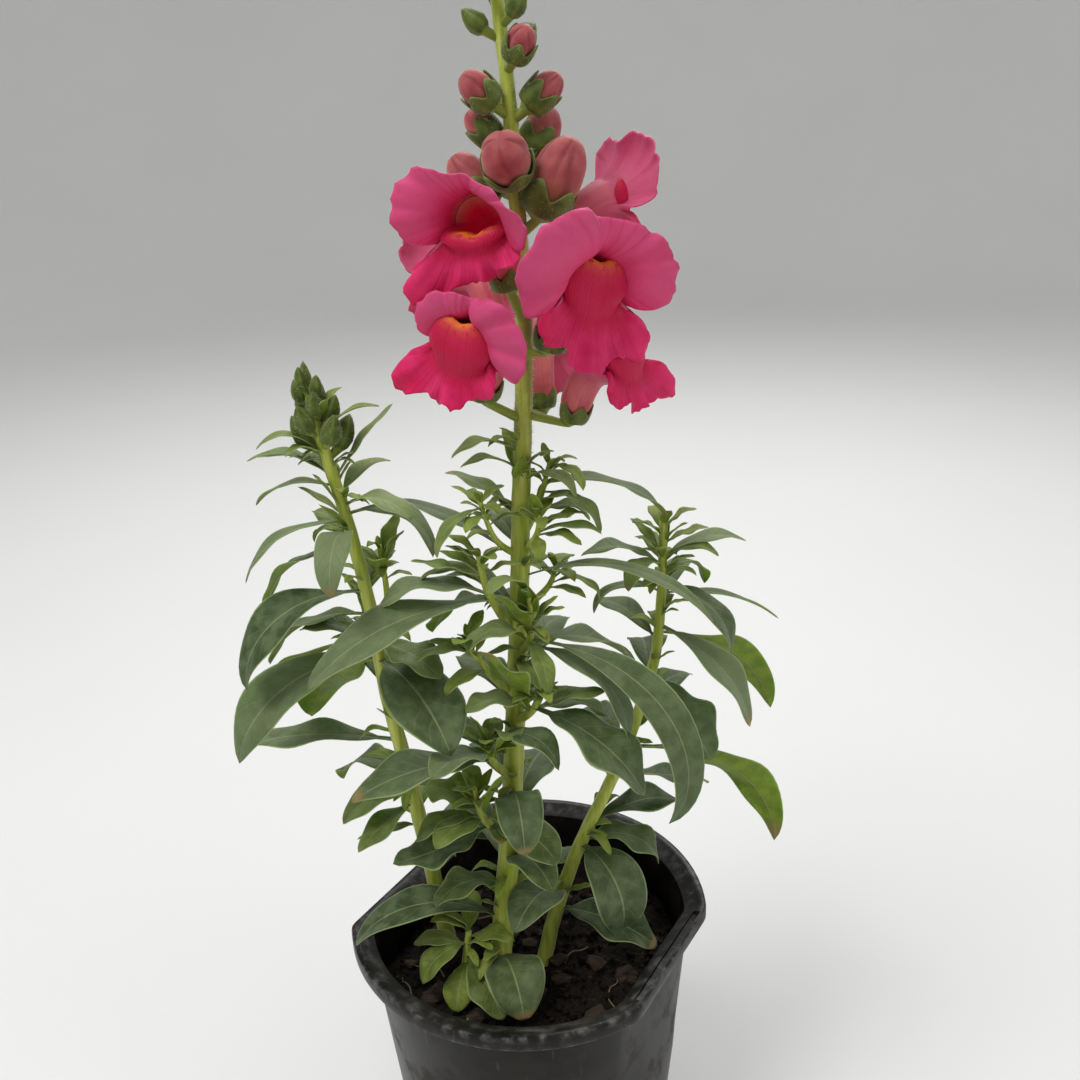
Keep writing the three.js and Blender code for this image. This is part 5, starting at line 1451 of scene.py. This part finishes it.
def pot_rings():
    """The pot's rings from its foot up the outside, over the rim and down inside, with wear and a painted
    edge highlight.
    """
    lip_foot = POT_HEIGHT - RIM_LIP
    band_inside = RIM_BAND + RIM_EDGE
    quarter = RIM_EDGE * (1 - math.sqrt(0.5))
    bevel = 0.3 * FOOT_CHAMFER
    foot = (  # distance inside the foot's outline, height, wear and painted highlight
        (FOOT_CHAMFER, 0, 0.4),
        (bevel, bevel, 0.6),
        (0, FOOT_CHAMFER, 0.4),
    )
    rim = (  # distance inside the rim's outline, height, wear and painted highlight
        (RIM_EDGE, lip_foot, 0.7),
        (quarter, lip_foot + quarter, 1.0),
        (0, lip_foot + RIM_EDGE, 0.5),
        (0, POT_HEIGHT - 2.6, 0.1),
        (0, POT_HEIGHT - RIM_EDGE, 0.6),
        (quarter, POT_HEIGHT - quarter, 1.0),
        (RIM_EDGE, POT_HEIGHT, 0.7),
        (2.4, POT_HEIGHT - 0.3, 0.25),
        (band_inside - 0.5, POT_HEIGHT - RIM_SLOPE + 0.12, 0.6),
        (band_inside, POT_HEIGHT - RIM_SLOPE - 0.15, 0.6),
    )
    bottom = (  # the same inside the pot
        (WALL + FLOOR_FILLET, FLOOR_THICKNESS + FLOOR_FILLET, 0.0),
        (WALL + 2 * FLOOR_FILLET, FLOOR_THICKNESS, 0.0),
    )
    waist = pot_ring(wall_radius(WAIST), WAIST, BODY_INSET)
    top = pot_ring(BODY_TOP_RADIUS, lip_foot + RIM_EDGE, BODY_INSET)
    rows = rows_inside(BODY_FOOT_RADIUS, BODY_INSET, foot)
    rows += [(pot_ring(wall_radius(height), height, BODY_INSET), 0.0) for height in (10, 20, 30, 40, WAIST)]
    rows += [(waist + (top - waist) * share, 0.0) for share in (0.2, 0.4, 0.6, 0.8, 0.95, 1)]
    rows += rows_inside(RIM_RADIUS, 0, rim)
    rows.append((inner_ring(WALL_TOP), 0.1))
    rows += [(inner_ring(height), 0.0) for height in (98, 92, 86, 78, 66, WAIST)]
    rows += rows_inside(BODY_FOOT_RADIUS, BODY_INSET, bottom)
    return np.array([ring for ring, _ in rows]), np.array([worn for _, worn in rows])[:, None]


def add_column(shape, foot, head, radius, sides):
    """A column between two points, with level ends."""
    outline = radius * direction(once_round(sides), 0)
    shape.add_loft([foot + outline, head + outline])


def make_pot():
    """The pot's shell with its drain holes, and the step inside the rim along the first flat."""
    rings, worn = pot_rings()
    shape = Shape("worn")
    shape.add_loft(rings, worn=worn)
    piece = make_piece("pot_body", shape, POT, "pot")
    holes = Shape()
    for middle in DRAIN_CIRCLE * direction(once_round(DRAIN_HOLES, 180 / DRAIN_HOLES), 0):
        low, high = middle - (0, 0, FLOOR_THICKNESS), middle + (0, 0, 2 * FLOOR_THICKNESS)
        add_column(holes, low, high, DRAIN_RADIUS, 32)
    azimuth, distance, _ = FLATS[0]
    half = math.sqrt(RIM_RADIUS ** 2 - distance ** 2) - RIM_STEP["margin"]
    far = distance - RIM_STEP["inset"] + RIM_STEP["width"] / 2
    near = distance - RIM_STEP["inset"] - RIM_STEP["width"] / 2
    outward, along = direction(azimuth, 0), direction(azimuth + 90, 0)
    slot = np.array([
        near * outward - half * along, far * outward - half * along,
        far * outward + half * along, near * outward + half * along,
    ]) + (0, 0, POT_HEIGHT)
    depth = np.array([0, 0, RIM_STEP["height"]])
    holes.add_loft([slot - depth, slot + depth])
    cut_away(piece, holes)
    piece.data.set_sharp_from_angle(angle=math.radians(POT_SHARP))


# ---- Soil -----------------------------------------------------------------------------------

def soil_height(x, y):
    waves = np.sin(x * 0.21 + 1) * np.cos(y * 0.17) + 0.6 * np.sin(x * 0.43 - y * 0.37)
    return SOIL_TOP + SOIL_BUMP * waves


def rough_soil_height(x, y):
    rough = np.array([
        0.9 * noise.noise(Vector((a * 0.35, b * 0.35, 3.0))) + 0.7 * noise.noise(Vector((a, b, 7.0)))
        for a, b in zip(np.ravel(x), np.ravel(y))
    ]).reshape(np.shape(x))
    return soil_height(x, y) + rough


def make_soil(feet):
    """The block of soil with its rough surface, and a hole for each stem's foot."""
    floor = FLOOR_THICKNESS + SEAT_GAP

    def ring_inside(height, share):
        ring = inner_ring(height)
        reach = np.linalg.norm(ring[:, :2], axis=1)
        scale = (reach - SOIL_SHRINKAGE) / reach * share
        ring = ring * scale[:, None]
        ring[:, 2] = height
        return ring

    rings = [ring_inside(WAIST, share) for share in (*SOIL_FOOT, 1)]
    rings.append(ring_inside(SOIL_TOP - 3, 1))
    rings[0][:, 2] = floor
    rings[1][:, 2] = floor + 2 * FLOOR_FILLET
    for share in np.linspace(1, 0.02, 54):
        ring = ring_inside(SOIL_TOP, share)
        ring[:, 2] = rough_soil_height(ring[:, 0], ring[:, 1])
        rings.append(ring)
    shape = Shape()
    shape.add_loft(rings)
    piece = make_piece("soil_ground", shape, SOIL, "soil")
    holes = Shape()
    for stem in feet:
        low, high = stem.point(0.0), stem.point(0.6 / stem.spans)
        add_column(holes, low - (0, 0, SEAT_GAP), high, stem.radius[0] * 1.08 + 0.3, 20)
    cut_away(piece, holes)


def lump(shape, centre, size, flat, random, subdivisions):
    """An irregular clod or chip: a ball of facets, pulled about and flattened."""
    ball = bmesh.new()
    bmesh.ops.create_icosphere(ball, subdivisions=subdivisions, radius=1.0)
    points = np.array([vertex.co for vertex in ball.verts])
    faces = [tuple(vertex.index for vertex in face.verts) for face in ball.faces]
    ball.free()
    seed = Vector(random.uniform(-50, 50, 3))
    swell = np.array([1 + 0.5 * noise.noise(Vector(p) * 1.3 + seed) for p in points])
    points = points * swell[:, None] * np.array([1, random.uniform(0.55, 0.9), flat]) * size
    turn = Matrix.Rotation(random.uniform(0, 6.28), 3, "Z") @ Matrix.Rotation(
        random.uniform(-0.4, 0.4), 3, "X")
    shape.add(points @ np.array(turn).T + centre, faces)


def reach_in_pot(azimuth):
    """How far from the middle the pot's inner wall is, at the soil's surface."""
    ring = inner_ring(SOIL_TOP)
    return float(np.interp(azimuth % 360, AZIMUTHS, np.linalg.norm(ring[:, :2], axis=1)))


def spot_on_soil(random, feet, margin):
    """A place on the soil's surface that keeps clear of the stems and of the pot's wall."""
    while True:
        azimuth = random.uniform(0, 360)
        distance = (reach_in_pot(azimuth) - margin) * math.sqrt(random.uniform(0, 1))
        x, y, _ = direction(azimuth, 0) * distance
        if all(math.hypot(*(foot.point(0)[:2] - (x, y))) > STEM_CLEARANCE for foot in feet):
            return np.array([x, y, float(soil_height(x, y))])


def scatter(name, litter, material, random, feet):
    """Clods or chips strewn over the soil, as one piece."""
    shape = Shape()
    for _ in range(litter["count"]):
        size = random.uniform(*litter["size"])
        spot = spot_on_soil(random, feet, 1.6 * size)
        lift = litter["lift"][0] + litter["lift"][1] * size
        lump(shape, spot + (0, 0, lift), size, litter["flat"], random, litter["subdivisions"])
    return make_piece(name, shape, material, "soil")


def make_litter(feet):
    """Loose crumbs, bark chips and root threads on the soil."""
    random = np.random.default_rng(LITTER_SEED)
    scatter("soil_crumbs", CRUMBS, SOIL, random, feet)
    bark = scatter("bark_chips", CHIPS, BARK, random, feet)
    bark.data.set_sharp_from_angle(angle=math.radians(BARK_SHARP))
    roots = Shape()
    for _ in range(ROOTS["count"]):
        route = root_route(random, feet)
        if len(route) > 3:
            add_stem(roots, Stem((ROOTS["radius"], route)), 6, 4, uneven=0.0)
    make_piece("soil_roots", roots, ROOT, "soil")


def root_route(random, feet):
    """Points of a thread that wanders over the soil and ends before the pot's wall."""
    place = spot_on_soil(random, feet, 5)
    heading = random.uniform(0, 360)
    route = []
    for _ in range(ROOTS["joints"]):
        heading += random.uniform(-ROOTS["turn"], ROOTS["turn"])
        place = place + direction(heading, 0) * random.uniform(*ROOTS["stride"])
        x, y = place[:2]
        if math.hypot(x, y) > reach_in_pot(math.degrees(math.atan2(y, x))) - 2:
            break
        route.append((x, y, float(soil_height(x, y)) + random.uniform(0.5, 1.4)))
    return route


# ---- Studio ---------------------------------------------------------------------------------

def make_studio():
    """A pale floor that rises to a wall in one curve, soft light and a bright sky."""
    sides = COVE["sides"]
    outline = [(COVE["floor"] * share, 0) for share in (0.2, 0.5, 0.8, 1)]
    for rise in np.radians(np.linspace(5, 90, 18)):
        outline.append((COVE["floor"] + COVE["curve"] * math.sin(rise), COVE["curve"] * (1 - math.cos(rise))))
    outline.append((COVE["floor"] + COVE["curve"], COVE["height"]))
    turned = direction(once_round(sides), 0)
    rings = [reach * turned + (0, 0, height + COVE["drop"]) for reach, height in outline]
    faces = [(0, 1 + k, 1 + (k + 1) % sides) for k in range(sides)]
    for i in range(len(outline) - 1):
        for k in range(sides):
            here, beside = 1 + i * sides + k, 1 + i * sides + (k + 1) % sides
            faces.append((here, here + sides, beside + sides, beside))
    cove = Shape()
    cove.add(np.concatenate([[(0, 0, COVE["drop"])], *rings]), faces)
    smooth_object("studio_floor", cove, floor_material())
    world = bpy.data.worlds.new("studio")
    world.use_nodes = True
    for socket, value in SKY.items():
        world.node_tree.nodes["Background"].inputs[socket].default_value = value
    bpy.context.scene.world = world
    for light in LIGHTS:
        add_light(*light)


def add_light(name, place, size, power):
    light = bpy.data.lights.new(name, "AREA")
    light.shape = "DISK"
    light.size = size
    light.energy = power
    lamp = linked(name, light)
    lamp.location = place
    lamp.rotation_euler = (Vector(LIGHTS_AIM) - Vector(place)).to_track_quat("-Z", "Y").to_euler()


def make_camera():
    """The photograph's camera, turned by yaw, pitch and roll."""
    data = bpy.data.cameras.new("camera")
    data.sensor_width = 36
    data.lens = 36 * FOCAL_PIXELS / IMAGE_SIDE
    data.clip_start = 0.01
    data.clip_end = 20
    forward = Vector(direction(90 - CAMERA_YAW, -CAMERA_PITCH))
    level = Vector(direction(-CAMERA_YAW, 0))
    up = level.cross(forward)
    roll = math.radians(CAMERA_ROLL)
    right = math.cos(roll) * level + math.sin(roll) * up
    top = -math.sin(roll) * level + math.cos(roll) * up
    turned = Matrix((right, top, -forward)).transposed().to_4x4()
    camera = linked("camera", data)
    camera.matrix_world = Matrix.Translation(Vector(CAMERA_PLACE) * MM) @ turned
    bpy.context.scene.camera = camera


# ---- The plant ------------------------------------------------------------------------------

PETAL = petal_material()
BUD = bud_material()
LEAF = leaf_material()
STEM = stem_material()
CALYX = calyx_material()
HAIR = hair_material()
POT = pot_material()
SOIL = soil_material()
BARK = bark_material()
ROOT = root_material()
EDGE = fine_edge()
MAIN = Stem(MAIN_STEM["stem"])
LEFT = Stem(LEFT_STEM["stem"])


def make_spike():
    """Flowers, coloured buds, and the green calyxes and buds that the main stem carries."""
    green = Shape("along", "ridge")
    for index, flower in enumerate(FLOWERS):
        make_flower(flower, FLOWER_SEED + index)
        turned = flower_frame(flower)
        bend = math.radians(flower["bend"])
        tilt = np.array([
            [math.cos(bend), 0, -math.sin(bend)], [0, 1, 0], [math.sin(bend), 0, math.cos(bend)],
        ])
        seat = np.concatenate([turned[:, :3] @ tilt, turned[:, 3:]], axis=1)
        girth = flower["size"] * TUBE_PROFILE[1][1]
        add_calyx(green, MAIN.at(flower["height"]), seat, girth, FLOWER_CALYX_DEPTH, POUCH_LEAN)
    for index, (name, height, *placing, length, girth, cover) in enumerate(PINK_BUDS):
        bud = bud_frame(height, *placing)
        make_bud(name, bud, length, girth, BUD_SEED + index)
        add_calyx(green, MAIN.at(height), bud, girth, cover * length, 0)
    add_green_buds(green, MAIN, **TOP_BUDS)
    make_piece("main_stem_calyxes", green, CALYX, "main_stem")
    return green


def build_plant():
    green = make_spike()
    wood = {row[0]: make_leafy_stem(*row) for row in LEAFY_STEMS}
    left_green = Shape("along", "ridge")
    add_green_buds(left_green, LEFT, **LEFT_BUDS)
    make_piece("left_stem_buds", left_green, CALYX, "left_stem")
    main_skins = ((green, 0), (wood["main_stem"], HAIRY_ABOVE))
    make_hairs("main_stem", main_skins, **MAIN_HAIRS)
    make_hairs("left_stem", ((left_green, 0),), **LEFT_HAIRS)


build_plant()
make_pot()
ROOTED = [Stem(stems["stem"]) for _, stems, *_ in LEAFY_STEMS]
make_soil(ROOTED)
make_litter(ROOTED)
make_studio()
make_camera()
bpy.context.scene.view_settings.view_transform = "Standard"
